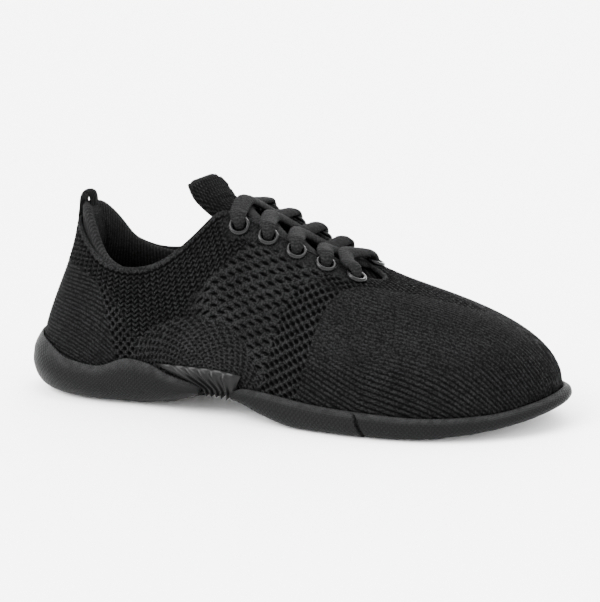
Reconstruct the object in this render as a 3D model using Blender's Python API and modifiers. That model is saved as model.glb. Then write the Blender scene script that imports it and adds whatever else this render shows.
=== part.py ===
"""Split-sole cheer and dance trainer for the right foot, standing empty and unbent on its sole.

Every size below is in millimetres. x runs from the heel (0) to the toe, y from the outer side of the
foot (negative) to the inner side, and z up from the floor. Points become metres when a mesh is made.
"""

import math
from collections import namedtuple

import bmesh
import bpy
import numpy as np
from mathutils import Matrix, Vector

MM = 0.001
SHOE_LENGTH = 250.0
GAP = 0.3  # clearance between pieces that meet

# Upper: one knitted wall
KNIT_WALL = 2.0
UPPER_AROUND = 80
UPPER_RISE = 8

# Sole: two moulded units, one under the heel and one under the forefoot
SOLE_EDGE = 4.5  # how far the sole stands out past the foot of the upper
LIP = 1.3  # thickness of the sole's wall at its top edge
HEEL_UNIT_END = 95.0
FOREFOOT_UNIT_START = 111.0
FLEX_GROOVES = ((170.0, 2.4), (189.0, 1.6), (209.0, 1.6))  # place along the foot, depth
FLEX_GROOVE_WIDTH = 1.4
FLEX_NOTCH_DEPTH = 1.5

# Rubber tread let into the heel unit
TREAD_CENTRE = (46.0, -0.6)
TREAD_HALF_LENGTH = 34.0
TREAD_HALF_WIDTH = 21.0
TREAD_EGG = 0.13
TREAD_DEPTH = 3.0
TREAD_GROOVE = 1.2

# Pleated rubber sleeve across the arch
SLEEVE_WALL = 1.2
SLEEVE_HEIGHT = 9.5
SLEEVE_START = 96.8  # first and last pleat under the foot
SLEEVE_END = 109.6
SLEEVE_LEAN = 18.0  # how far the first pleat leans back, and the last one forward, at the top
SLEEVE_FAN = 3.0
SLEEVE_FLANGE = 0.16  # flat ends tucked behind the sole units, as a share of the pleated run
PLEATS = 5
PLEAT_DEPTH = 1.6
PLEAT_STEPS = 4

# Tongue, lacing and eyelets
TONGUE_GAP = 2.5  # room between tongue and upper for the lace to pass
TONGUE_THICKNESS = 4.5
TONGUE_UNDERLAP = 12.0
EYELETS_A_SIDE = 5
FIRST_EYELET_X = 154.0
LAST_EYELET_X = 104.5
EYELET_FROM_EDGE = 7.5
EYELET_FLANGE = 4.7
EYELET_BARREL = 3.5
EYELET_BORE = 2.8
EYELET_RIM = 0.9
LACE_WIDTH = 8.0
LACE_THICKNESS = 2.6

# Insole, collar padding and pull loop
INSOLE_THICKNESS = 3.0
COLLAR_PAD_END = 64.0
LOOP_WIDTH = 13.0
LOOP_THICKNESS = 1.2

# Ribs of the upper: each runs from the foot line, on the sole, to the top line, round collar and throat.
# bulge and rise place the rib's lower handle, out and up; reach and fall its upper one, out and down.
Rib = namedtuple("Rib", "name foot_x foot_outer foot_inner bulge rise top_x top_half top_z reach fall")
RIBS = (
    Rib("heel_back", 4.5, 0.0, 0.0, 1.0, 22.0, 24.0, 0.0, 80.0, 2.0, 22.0),
    Rib("heel_turn", 11.5, -19.0, 19.0, 1.6, 22.0, 27.5, 12.5, 78.5, 2.5, 21.0),
    Rib("heel_side", 32.0, -28.0, 27.5, 2.8, 20.0, 39.5, 22.5, 67.5, 3.5, 18.0),
    Rib("ankle", 60.0, -29.5, 27.0, 3.4, 18.0, 58.0, 26.5, 62.0, 4.0, 16.0),
    Rib("waist", 92.0, -32.0, 25.0, 4.0, 20.0, 78.0, 26.0, 69.0, 5.0, 17.0),
    Rib("arch_front", 118.0, -36.0, 28.0, 4.0, 24.0, 93.0, 22.5, 83.0, 7.0, 17.0),
    Rib("instep", 142.0, -40.0, 34.0, 3.5, 26.0, 104.0, 17.5, 88.5, 9.0, 13.0),
    Rib("ball", 168.0, -42.0, 39.0, 3.0, 26.0, 128.0, 15.5, 78.0, 12.0, 9.0),
    Rib("toe_joint", 195.0, -38.5, 40.0, 3.0, 25.0, 148.0, 13.0, 68.5, 17.0, 7.0),
    Rib("toe_side", 219.0, -28.5, 36.0, 3.0, 25.0, 161.0, 9.5, 62.3, 26.0, 7.0),
    Rib("toe_turn", 236.0, -14.0, 27.0, 3.0, 25.0, 166.5, 5.0, 60.2, 36.0, 8.0),
    Rib("toe_tip", 245.5, 8.0, 8.0, 3.0, 25.0, 168.0, 0.0, 59.8, 42.0, 9.0),
)

# Height of the bed that carries the foot, and of the sole's underside, along the shoe.
Level = namedtuple("Level", "x bed ground")
LEVELS = (
    Level(0.0, 12.5, 1.0),
    Level(12.0, 12.0, 0.4),
    Level(60.0, 12.0, 0.4),
    Level(76.0, 12.1, 2.4),
    Level(95.0, 12.4, 8.6),
    Level(103.0, 12.5, 9.6),
    Level(111.0, 11.9, 8.8),
    Level(124.0, 10.4, 3.6),
    Level(140.0, 8.8, 0.0),
    Level(190.0, 7.0, 0.0),
    Level(212.0, 7.5, 2.0),
    Level(232.0, 9.8, 5.4),
    Level(250.0, 13.5, 10.0),
)

# Top edge of each sole unit's wall, along the shoe.
Wall = namedtuple("Wall", "x top")
HEEL_WALL = (
    Wall(0.0, 27.0),
    Wall(12.0, 25.5),
    Wall(28.0, 19.0),
    Wall(42.0, 17.5),
    Wall(60.0, 22.5),
    Wall(70.0, 21.0),
    Wall(80.0, 16.8),
    Wall(95.0, 12.9),
)
FOREFOOT_WALL = (
    Wall(111.0, 13.4),
    Wall(118.0, 15.0),
    Wall(130.0, 14.4),
    Wall(150.0, 12.2),
    Wall(172.0, 11.0),
    Wall(198.0, 9.8),
    Wall(220.0, 10.6),
    Wall(236.0, 13.2),
    Wall(250.0, 17.0),
)

# Section of each unit's side: share of the way up its wall, and how far it is set in from the widest part.
SideRow = namedtuple("SideRow", "share set_in")
HEEL_SIDE = (
    SideRow(0.00, 10.5),
    SideRow(0.05, 7.0),
    SideRow(0.17, 3.2),
    SideRow(0.34, 0.9),
    SideRow(0.52, 0.0),
    SideRow(0.75, 0.7),
)
FOREFOOT_SIDE = (
    SideRow(0.00, 7.5),
    SideRow(0.09, 3.4),
    SideRow(0.30, 0.9),
    SideRow(0.55, 0.0),
    SideRow(0.82, 0.5),
)

# Section of the collar padding: where on the rib, and what share of its full thickness.
PadRow = namedtuple("PadRow", "t share")
PAD_ROWS = (
    PadRow(0.60, 0.12),
    PadRow(0.70, 0.55),
    PadRow(0.80, 0.85),
    PadRow(0.90, 1.00),
    PadRow(0.98, 0.85),
    PadRow(1.03, 0.40),
)
# Thickness of the padding and how far it rises past the collar's edge, along the shoe.
PadStation = namedtuple("PadStation", "x thickness rise")
PAD_STATIONS = (
    PadStation(4.0, 6.0, 1.0),
    PadStation(20.0, 5.6, 1.0),
    PadStation(40.0, 3.6, 0.6),
    PadStation(64.0, 1.2, 0.0),
)

# The pull loop's free fold past the collar: along the heel's line, and forward of it.
Fold = namedtuple("Fold", "along forward")
LOOP_FOLDS = (
    Fold(3.0, 0.2),
    Fold(6.5, 0.2),
    Fold(9.0, 0.8),
    Fold(10.3, 2.1),
    Fold(9.8, 3.6),
    Fold(7.4, 4.6),
    Fold(4.4, 4.9),
)
LOOP_RUN = (0.72, 0.80, 0.88, 0.96, 1.02)  # stretch of the heel rib that carries the loop

# The tongue's free top: how far it runs back and up past the throat, its width and its thickness.
TongueRow = namedtuple("TongueRow", "back raised width thickness")
TONGUE_TOP = (
    TongueRow(4.2, 1.8, 0.87, 1.15),
    TongueRow(8.2, 4.3, 0.88, 1.4),
    TongueRow(11.8, 7.2, 1.0, 1.55),
    TongueRow(14.5, 9.9, 1.10, 1.55),
    TongueRow(15.8, 11.4, 1.10, 1.25),
    TongueRow(16.4, 12.1, 1.05, 0.7),
)
TONGUE_SQUARE = 1.5  # how much further the free top runs at its sides, which squares it
TONGUE_CORNER = 0.92  # how much of that its corners give up again

# Finish of each material: colour, roughness, metallic.
FINISHES = {
    "knit": ((0.020, 0.020, 0.021), 0.85, 0.0),
    "foam": ((0.030, 0.030, 0.031), 0.60, 0.0),
    "rubber": ((0.026, 0.026, 0.026), 0.45, 0.0),
    "sleeve": ((0.014, 0.014, 0.014), 0.30, 0.0),
    "mesh": ((0.016, 0.016, 0.016), 0.90, 0.0),
    "lace": ((0.028, 0.028, 0.028), 0.80, 0.0),
    "eyelet": ((0.050, 0.050, 0.052), 0.25, 1.0),
    "webbing": ((0.010, 0.010, 0.010), 0.70, 0.0),
    "lining": ((0.022, 0.022, 0.022), 0.90, 0.0),
}


# Curves and surfaces


def smooth_profile(x, rows, column):
    """Height read from a table of stations along the shoe, smooth, and flat between equal rows."""
    knots = np.array([row.x for row in rows])
    values = np.array([getattr(row, column) for row in rows])
    run = np.diff(knots)
    slope = np.diff(values) / run
    ends = np.zeros(len(rows))
    flat = slope[:-1] * slope[1:] <= 0
    mean = 2 * slope[:-1] * slope[1:] / np.where(flat, 1.0, slope[:-1] + slope[1:])
    ends[1:-1] = np.where(flat, 0.0, mean)
    ends[0], ends[-1] = slope[0], slope[-1]
    x = np.clip(np.asarray(x, float), knots[0], knots[-1])
    i = np.clip(np.searchsorted(knots, x, side="right") - 1, 0, len(run) - 1)
    s = (x - knots[i]) / run[i]
    rise = values[i] * (1 + 2 * s) * (1 - s) ** 2 + values[i + 1] * s**2 * (3 - 2 * s)
    return rise + run[i] * s * (1 - s) * (ends[i] * (1 - s) - ends[i + 1] * s)


def bed(x):
    return smooth_profile(x, LEVELS, "bed")


def ground(x):
    return smooth_profile(x, LEVELS, "ground")


class ClosedSpline:
    """A smooth closed curve through rows of values, by the length between them."""

    def __init__(self, values, lengths):
        count = len(values)
        self.values = values
        self.starts = np.concatenate([[0.0], np.cumsum(lengths)])
        self.run = lengths
        before, after = np.roll(lengths, 1), lengths
        system = np.zeros((count, count))
        rows = np.arange(count)
        system[rows, rows] = 2 * (before + after)
        system[rows, rows - 1] += before
        system[rows, (rows + 1) % count] += after
        slope = (np.roll(values, -1, axis=0) - values) / after[:, None]
        self.bend = np.linalg.solve(system, 6 * (slope - np.roll(slope, 1, axis=0)))

    def __call__(self, share):
        """Values at a share of the way round, any number of turns."""
        place = np.mod(np.asarray(share, float), 1.0) * self.starts[-1]
        i = np.clip(np.searchsorted(self.starts, place, side="right") - 1, 0, len(self.run) - 1)
        nxt = (i + 1) % len(self.run)
        h = self.run[i][:, None]
        b = (place - self.starts[i])[:, None] / h
        a = 1 - b
        straight = a * self.values[i] + b * self.values[nxt]
        curve = (a**3 - a) * self.bend[i] + (b**3 - b) * self.bend[nxt]
        return straight + curve * h**2 / 6


def rib_loop():
    """The ribs in order round the shoe: outer side from heel to toe, then back along the inner side."""
    outer = [(r, r.foot_outer, -r.top_half) for r in RIBS]
    inner = [(r, r.foot_inner, r.top_half) for r in RIBS[-2:0:-1]]
    rows = [
        (r.foot_x, foot_y, r.top_x, top_y, r.top_z, r.bulge, r.rise, r.reach, r.fall)
        for r, foot_y, top_y in outer + inner
    ]
    return np.array(rows, float)


RIB_VALUES = rib_loop()
RIB_SPACING = np.linalg.norm(np.roll(RIB_VALUES[:, :2], -1, axis=0) - RIB_VALUES[:, :2], axis=1)
RIB_CURVE = ClosedSpline(RIB_VALUES, RIB_SPACING)
TOE_SHARE = RIB_SPACING[: len(RIBS) - 1].sum() / RIB_SPACING.sum()
SHARE_STEP = 1e-4


def foot_line(u):
    """Points of the upper's foot line in plan, and the direction out of the shoe there."""
    u = np.asarray(u, float)
    foot = RIB_CURVE(u)[:, :2]
    along = RIB_CURVE(u + SHARE_STEP)[:, :2] - RIB_CURVE(u - SHARE_STEP)[:, :2]
    along /= np.linalg.norm(along, axis=1)[:, None]
    return foot, np.column_stack([along[:, 1], -along[:, 0]])


def rib_point(u, t):
    """Outer face of the upper: u goes once round the shoe from the heel, t from the sole to the top line."""
    u, t = np.broadcast_arrays(np.asarray(u, float), np.asarray(t, float))
    shape = u.shape
    u, t = u.ravel(), t.ravel()[:, None]
    row = RIB_CURVE(u)
    plan, out = foot_line(u)
    foot = np.column_stack([plan, bed(plan[:, 0]) + GAP])
    top = row[:, 2:5]
    bulge, rise, reach, fall = (row[:, k : k + 1] for k in range(5, 9))
    out = np.column_stack([out, np.zeros(len(u))])
    side = np.column_stack([-out[:, 1], out[:, 0], np.zeros(len(u))])
    up = np.array((0.0, 0.0, 1.0))
    drift = side * ((top - foot) * side).sum(axis=1)[:, None] / 3
    low = foot + drift + out * bulge + up * rise
    high = top - drift + out * reach - up * fall
    s = 1 - t
    return (s**3 * foot + 3 * s**2 * t * low + 3 * s * t**2 * high + t**3 * top).reshape(*shape, 3)


def upper_point(u, t, lift=0.0):
    """A point lifted off the upper's outer face, outwards if lift is positive."""
    u, t = np.broadcast_arrays(np.asarray(u, float), np.asarray(t, float))
    round_shoe = rib_point(u + SHARE_STEP, t) - rib_point(u - SHARE_STEP, t)
    up_rib = rib_point(u, t + SHARE_STEP) - rib_point(u, t - SHARE_STEP)
    normal = np.cross(round_shoe, up_rib)
    normal /= np.linalg.norm(normal, axis=-1)[..., None]
    return rib_point(u, t) + normal * np.asarray(lift, float)[..., None]


def height_share(u, z):
    """How far up each rib the height z lies."""
    ts = np.linspace(0.0, 0.7, 60)
    heights = rib_point(np.asarray(u)[:, None], ts[None, :])[..., 2]
    return np.array([np.interp(level, column, ts) for level, column in zip(z, heights)])


def share_at(value, inner_side, column):
    """The share round the shoe where a rib column, 0 for foot x or 2 for top x, has this value."""
    span = np.linspace(TOE_SHARE, 1.0, 800) if inner_side else np.linspace(0.0, TOE_SHARE, 800)
    found = RIB_CURVE(np.clip(span, 0.0, 1.0 - 1e-9))[:, column]
    order = np.argsort(found)
    return np.interp(np.asarray(value, float), found[order], span[order])


def share_at_foot(x, inner_side):
    return share_at(x, inner_side, 0)


def share_at_top(x, inner_side):
    return share_at(x, inner_side, 2)


# Meshes and objects


def clear_scene():
    for obj in list(bpy.data.objects):
        bpy.data.objects.remove(obj, do_unlink=True)


def new_collection(name):
    collection = bpy.data.collections.new(name)
    bpy.context.scene.collection.children.link(collection)
    return collection


def finish_material(name):
    colour, roughness, metallic = FINISHES[name]
    material = bpy.data.materials.new(name)
    material.use_nodes = True
    shader = material.node_tree.nodes["Principled BSDF"]
    shader.inputs["Base Color"].default_value = (*colour, 1.0)
    shader.inputs["Roughness"].default_value = roughness
    shader.inputs["Metallic"].default_value = metallic
    return material


def add_object(name, mesh, collection, material=None):
    obj = bpy.data.objects.new(name, mesh)
    collection.objects.link(obj)
    if material:
        mesh.materials.append(material)
    return obj


def make_helper(obj):
    obj.hide_render = True
    obj.display_type = "WIRE"
    return obj


def mesh_from(name, points, faces):
    """A mesh in metres, about the middle of the shoe's footprint, with its faces turned outwards."""
    mesh = bpy.data.meshes.new(name)
    mesh.from_pydata([tuple((p - ORIGIN) * MM) for p in points], [], faces)
    work = bmesh.new()
    work.from_mesh(mesh)
    bmesh.ops.remove_doubles(work, verts=work.verts, dist=1e-7)
    bmesh.ops.recalc_face_normals(work, faces=work.faces)
    work.to_mesh(mesh)
    work.free()
    mesh.shade_smooth()
    mesh.set_sharp_from_angle(angle=math.radians(40))
    return mesh


def grid_faces(rows, columns, start=0, closed=False):
    """Quads of a grid of points stored row after row, each row closed into a ring if asked."""
    faces = []
    for r in range(rows - 1):
        for c in range(columns if closed else columns - 1):
            d = (c + 1) % columns
            faces.append(
                (
                    start + r * columns + c,
                    start + r * columns + d,
                    start + (r + 1) * columns + d,
                    start + (r + 1) * columns + c,
                )
            )
    return faces


def strip_cap(count, start):
    """Faces that close a ring by strips from each point to the one across from it."""
    faces = []
    for i in range(count // 2):
        corners = [i, i + 1, count - 2 - i, count - 1 - i]
        corners = [start + c for k, c in enumerate(corners) if c not in corners[:k]]
        if len(corners) > 2:
            faces.append(tuple(corners))
    return faces


def ring_solid(name, rings):
    """A closed solid through a stack of rings, with strips across the first and the last."""
    rings = np.array(rings)
    rows, columns = rings.shape[:2]
    faces = grid_faces(rows, columns, closed=True)
    faces += strip_cap(columns, 0) + strip_cap(columns, (rows - 1) * columns)
    return mesh_from(name, rings.reshape(-1, 3), faces)


def sheet_solid(name, front, back):
    """A closed solid between two grids of points, joined along all four edges."""
    rows, columns = front.shape[:2]
    count = rows * columns
    border = [c for c in range(columns)]
    border += [r * columns + columns - 1 for r in range(1, rows)]
    border += [(rows - 1) * columns + c for c in range(columns - 2, -1, -1)]
    border += [r * columns for r in range(rows - 2, 0, -1)]
    faces = grid_faces(rows, columns) + grid_faces(rows, columns, start=count)
    for a, b in zip(border, border[1:] + border[:1]):
        faces.append((a, b, b + count, a + count))
    return mesh_from(name, np.concatenate([front.reshape(-1, 3), back.reshape(-1, 3)]), faces)


def add_boolean(obj, operand, operation):
    modifier = obj.modifiers.new(f"{operation.lower()} {operand.name}", "BOOLEAN")
    modifier.operation = operation
    modifier.object = operand
    return modifier


def box_mesh(name, low, high):
    """A box from a primitive, between two corners."""
    work = bmesh.new()
    low, high = np.array(low) - ORIGIN, np.array(high) - ORIGIN
    size = Matrix.Diagonal((*((high - low) * MM), 1.0))
    bmesh.ops.create_cube(work, size=1.0, matrix=Matrix.Translation((low + high) / 2 * MM) @ size)
    mesh = bpy.data.meshes.new(name)
    work.to_mesh(mesh)
    work.free()
    return mesh


# Sole units


def unit_shares(x, toe):
    """Shares round the heel, or round the toe, between the two points of the foot line at x."""
    outer, inner = share_at_foot(x, False), share_at_foot(x, True)
    if toe:
        return np.linspace(outer, inner, 47)
    return np.linspace(inner - 1.0, outer, 35)


def unit_form(name, shares, walls, sides):
    """A sole unit before it is hollowed: underside, rounded side and the wall's top edge."""
    foot, out = foot_line(shares)
    x = foot[:, 0]
    low, top = ground(x), smooth_profile(x, walls, "top")
    t = height_share(shares, top)

    def ring(reach, z):
        return np.column_stack([foot + out * reach, z])

    rings = [ring(SOLE_EDGE - row.set_in, low + row.share * (top - low)) for row in sides]
    rings.append(upper_point(shares, t, np.full(len(shares), GAP + LIP)))
    rings.append(upper_point(shares, t, np.full(len(shares), -5.0)))
    return ring_solid(name, rings)


def last_form(name):
    """The foot's own form, a gap larger than the upper, that hollows out the sole."""
    shares = np.arange(UPPER_AROUND) / UPPER_AROUND
    base = rib_point(shares, np.zeros(UPPER_AROUND))
    base = upper_point(shares, np.zeros(UPPER_AROUND), np.full(UPPER_AROUND, GAP))
    base[:, 2] = bed(foot_line(shares)[0][:, 0])
    rings = [base]
    for t in (0.06, 0.14, 0.22, 0.32, 0.42):
        rings.append(upper_point(shares, np.full(UPPER_AROUND, t), np.full(UPPER_AROUND, GAP)))
    return ring_solid(name, np.roll(rings, UPPER_AROUND // 2, axis=1))


def tread_outline(grow):
    """The heel tread's egg-shaped outline, grown outwards."""
    angles = np.linspace(0.0, 2 * math.pi, 32, endpoint=False)
    length, width = TREAD_HALF_LENGTH + grow, TREAD_HALF_WIDTH + grow
    x = TREAD_CENTRE[0] + length * np.cos(angles)
    y = TREAD_CENTRE[1] + width * np.sin(angles) * (1 - TREAD_EGG * np.cos(angles))
    return np.column_stack([x, y])


def tread_solid(name, sections):
    """A solid of stacked outlines of the tread, each with how far it is grown and its height."""
    rings = []
    for grow, z in sections:
        outline = tread_outline(grow)
        rings.append(np.column_stack([outline, z + ground(outline[:, 0]) - ground(TREAD_CENTRE[0])]))
    return ring_solid(name, rings)


def build_heel_tread(parts, cutters):
    """Egg-shaped tread: a flat pad inside a groove inside a ring, let into the heel unit from below."""
    sections = (
        (-6.4, 0.0),
        (-6.2, TREAD_GROOVE),
        (-5.0, TREAD_GROOVE),
        (-4.8, 0.0),
        (-0.5, 0.0),
        (0.0, 0.5),
        (0.0, TREAD_DEPTH),
    )
    add_object("heel_tread", tread_solid("heel_tread", sections), parts, finish_material("rubber"))
    recess = ((GAP, -2.0), (GAP, TREAD_DEPTH + GAP))
    return make_helper(add_object("tread_recess", tread_solid("tread_recess", recess), cutters))


def build_flex_grooves(cutters):
    """Slots across the forefoot's underside, with a notch up its side walls at the first."""
    slots = []
    half = FLEX_GROOVE_WIDTH / 2
    for number, (x, depth) in enumerate(FLEX_GROOVES):
        floor = float(ground(x))
        boxes = [((x - half, -60.0, floor - 5.0), (x + half, 60.0, floor + depth))]
        if number == 0:
            for inner_side in (False, True):
                foot = foot_line(share_at_foot([x], inner_side))[0][0, 1]
                side = math.copysign(1.0, foot)
                face = foot + side * (SOLE_EDGE - FLEX_NOTCH_DEPTH)
                ends = sorted((face, face + side * 8.0))
                boxes.append(((x - half, ends[0], floor - 5.0), (x + half, ends[1], 20.0)))
        for low, high in boxes:
            name = f"flex_groove_{len(slots) + 1}"
            slots.append(make_helper(add_object(name, box_mesh(name, low, high), cutters)))
    return slots


def build_sole(parts, cutters, sleeve_room):
    """The heel and forefoot units, hollowed for the upper and for the arch sleeve."""
    foam = finish_material("foam")
    last = make_helper(add_object("last", last_form("last"), cutters))
    recess = build_heel_tread(parts, cutters)
    heel = unit_form("heel_sole", unit_shares(HEEL_UNIT_END, False), HEEL_WALL, HEEL_SIDE)
    heel = add_object("heel_sole", heel, parts, foam)
    toe_shares = unit_shares(FOREFOOT_UNIT_START, True)
    forefoot = unit_form("forefoot_sole", toe_shares, FOREFOOT_WALL, FOREFOOT_SIDE)
    forefoot = add_object("forefoot_sole", forefoot, parts, foam)
    for unit in (heel, forefoot):
        add_boolean(unit, last, "DIFFERENCE")
        add_boolean(unit, sleeve_room, "DIFFERENCE")
    add_boolean(heel, recess, "DIFFERENCE")
    for slot in build_flex_grooves(cutters):
        add_boolean(forefoot, slot, "DIFFERENCE")


# Arch sleeve


def sleeve_grid(lift, grow, with_pleats=True):
    """Points of the sleeve round the arch: rows along the foot, columns from one side under to the other."""
    flange = SLEEVE_FLANGE + grow / 16.0
    fan = np.linspace(0.0, 1.0, PLEATS * PLEAT_STEPS + 1)
    fan = np.concatenate([[-flange], fan, [1.0 + flange]])
    heights = np.array((1.0, 0.66, 0.33, 0.0)) * (1 + grow / SLEEVE_HEIGHT)
    rows = []
    for f in fan:
        wave = 0.5 - 0.5 * math.cos(2 * math.pi * PLEATS * f) if 0.0 < f < 1.0 else 0.0
        swell = lift + (PLEAT_DEPTH * wave if with_pleats else 0.0)
        x = (SLEEVE_START - SLEEVE_LEAN * heights) * (1 - f) + (SLEEVE_END + SLEEVE_FAN * heights) * f
        sides = []
        for inner_side in (False, True):
            shares = share_at_foot(x, inner_side)
            z = bed(x) + heights * SLEEVE_HEIGHT
            t = height_share(shares, z)
            sides.append(upper_point(shares, t, np.full(len(x), swell)))
        under = np.array([sides[0][-1], sides[1][-1]])
        under[:, 2] = bed(x[-1]) + GAP - swell
        outer, inner = sides[0][:-1], sides[1][-2::-1]
        rows.append(np.concatenate([outer, under, inner]))
    return np.array(rows)


def build_sleeve(parts, cutters):
    """The pleated sleeve, and the room that the sole units leave for its ends."""
    front = sleeve_grid(GAP + SLEEVE_WALL, 0.0)
    back = sleeve_grid(GAP, 0.0)
    mesh = sheet_solid("arch_sleeve", front, back)
    add_object("arch_sleeve", mesh, parts, finish_material("sleeve"))
    room_front = sleeve_grid(3 * GAP + SLEEVE_WALL, 1.0)
    room_back = sleeve_grid(-GAP, 1.0, with_pleats=False)
    room = sheet_solid("sleeve_room", room_front, room_back)
    return make_helper(add_object("sleeve_room", room, cutters))


# Upper


def eyelet_frames():
    """Name, share round the shoe and share up the rib of each eyelet, from the toe end up."""
    frames = []
    for inner_side in (False, True):
        side = "inner" if inner_side else "outer"
        places = np.linspace(FIRST_EYELET_X, LAST_EYELET_X, EYELETS_A_SIDE)
        for number, x in enumerate(places, start=1):
            u = float(share_at_top(x, inner_side))
            ts = np.linspace(0.6, 1.0, 200)
            rib = rib_point(np.full(200, u), ts)
            steps = np.linalg.norm(np.diff(rib, axis=0), axis=1)
            to_edge = np.concatenate([np.cumsum(steps[::-1])[::-1], [0.0]])
            t = float(np.interp(-EYELET_FROM_EDGE, -to_edge, ts))
            frames.append((f"eyelet_{side}_{number}", u, t))
    return frames


def eyelet_matrix(u, t):
    """Placement of an eyelet: its own +Z points out of the upper."""
    low = upper_point([u], [t], [0.0])[0]
    high = upper_point([u], [t], [1.0])[0]
    turn = Vector(high - low).to_track_quat("Z", "Y").to_matrix().to_4x4()
    return Matrix.Translation(Vector((low - ORIGIN) * MM)) @ turn


def build_upper(parts, cutters, frames):
    """The knitted wall: open at collar, throat and underneath, pierced at each eyelet."""
    shares = np.arange(UPPER_AROUND) / UPPER_AROUND
    ts = np.linspace(0.0, 1.0, UPPER_RISE + 1)
    points = rib_point(shares[None, :], ts[:, None]).reshape(-1, 3)
    mesh = mesh_from("upper", points, grid_faces(len(ts), UPPER_AROUND, closed=True))
    upper = add_object("upper", mesh, parts, finish_material("knit"))
    wall = upper.modifiers.new("wall", "SOLIDIFY")
    wall.thickness = KNIT_WALL * MM
    wall.offset = -1.0
    wall.use_even_offset = True
    punch = bpy.data.meshes.new("eyelet_punch")
    work = bmesh.new()
    for _, u, t in frames:
        bmesh.ops.create_cone(
            work,
            cap_ends=True,
            segments=12,
            radius1=(EYELET_BARREL + GAP) * MM,
            radius2=(EYELET_BARREL + GAP) * MM,
            depth=4 * KNIT_WALL * MM,
            matrix=eyelet_matrix(u, t),
        )
    work.to_mesh(punch)
    work.free()
    add_boolean(upper, make_helper(add_object("eyelet_punch", punch, cutters)), "DIFFERENCE")


def build_eyelets(parts, frames):
    """Turned rings: a rolled rim on the knit and a barrel through it."""
    metal = finish_material("eyelet")
    rim = EYELET_RIM + GAP
    section = (
        (EYELET_FLANGE - 0.8, rim),
        (EYELET_FLANGE, GAP),
        (EYELET_BARREL, GAP),
        (EYELET_BARREL, -KNIT_WALL),
        (EYELET_BORE, -KNIT_WALL),
        (EYELET_BORE, rim * 0.6),
    )
    mesh = bpy.data.meshes.new("eyelet")
    corners = len(section)
    edges = [(k, (k + 1) % corners) for k in range(corners)]
    mesh.from_pydata([(r * MM, 0.0, z * MM) for r, z in section], edges, [])
    mesh.materials.append(metal)
    for name, u, t in frames:
        eyelet = bpy.data.objects.new(name, mesh)
        parts.objects.link(eyelet)
        eyelet.matrix_world = eyelet_matrix(u, t)
        turn = eyelet.modifiers.new("turn", "SCREW")
        turn.steps = turn.render_steps = 12
        turn.use_merge_vertices = True
        turn.merge_threshold = 1e-6
        turn.use_normal_calculate = True
        turn.use_normal_flip = True


# Tongue


def tongue_section(x, lift):
    """Points across the tongue at a place along the throat, from outer to inner side, lifted off the tongue."""
    seat = GAP + (TONGUE_GAP - GAP) * min(1.0, max(0.0, (160.0 - x) / 14.0))
    depth = lift - KNIT_WALL - seat
    flanks, edges, rises = [], [], []
    for inner_side in (False, True):
        u = np.full(4, share_at_top(x, inner_side))
        length = np.linalg.norm(rib_point(u[:1], [1.0]) - rib_point(u[:1], [0.9]))
        ts = 1.0 - 0.1 * TONGUE_UNDERLAP / length * np.array((1.0, 0.66, 0.33, 0.0))
        flank = upper_point(u, ts, np.full(4, depth))
        flanks.append(flank)
        edges.append(flank[-1])
        rises.append(flank[-1] - flank[-2])
    span = np.linalg.norm(edges[1] - edges[0])
    rises = [r / np.linalg.norm(r) * 0.36 * span for r in rises]
    q = np.linspace(0.0, 1.0, 7)[1:-1, None]
    controls = (edges[0], edges[0] + rises[0], edges[1] + rises[1], edges[1])
    weights = ((1 - q) ** 3, 3 * q * (1 - q) ** 2, 3 * q**2 * (1 - q), q**3)
    crown = sum(w * c for w, c in zip(weights, controls))
    return np.concatenate([flanks[0], crown, flanks[1][::-1]])


def tongue_grid(lift):
    """Rows of points up the tongue: under the vamp, along the throat, and the free top."""
    throat = [tongue_section(x, lift) for x in np.linspace(157.0, 107.0, 8)]
    forward = throat[0] - throat[1]
    sink = np.array((0.0, 0.0, -1.0))
    rows = [throat[0] + (forward + sink) * 1.2] + throat
    across = np.linspace(-1.0, 1.0, len(throat[0]))
    aside = across[:, None] ** 2
    reach = 1.0 + TONGUE_SQUARE * aside - TONGUE_CORNER * aside**2
    for top in TONGUE_TOP:
        row = throat[-1] + reach * np.array((-top.back, 0.0, top.raised))
        centre = row.mean(axis=0)
        rows.append(centre + (row - centre) * np.array((1.0, top.width, 1.0)))
    return np.array(rows)


def build_tongue(parts):
    """A padded tongue that follows the inside of the throat, thinner at its edges."""
    front, back = tongue_grid(0.0), tongue_grid(-TONGUE_THICKNESS)
    columns = front.shape[1]
    share = np.sin(np.linspace(0.0, math.pi, columns)) ** 0.4
    thin = 0.35 + 0.65 * share[None, :, None]
    swell = np.ones(len(front))
    swell[-len(TONGUE_TOP) :] = [top.thickness for top in TONGUE_TOP]
    back = front + (back - front) * thin * swell[:, None, None]
    mesh = sheet_solid("tongue", front, back)
    add_object("tongue", mesh, parts, finish_material("mesh"))


# Laces


def smooth_path(points, count):
    """Points along a smooth curve through the given ones."""
    points = np.array(points)
    padded = np.concatenate([[2 * points[0] - points[1]], points, [2 * points[-1] - points[-2]]])
    path = []
    for place in np.linspace(0.0, len(points) - 1.0, count):
        i = min(int(place), len(points) - 2)
        s = place - i
        a, b, c, d = padded[i : i + 4]
        bend = (2 * a - 5 * b + 4 * c - d) * s**2 + (3 * b - a - 3 * c + d) * s**3
        path.append(0.5 * (2 * b + (c - a) * s + bend))
    return np.array(path)


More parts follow.
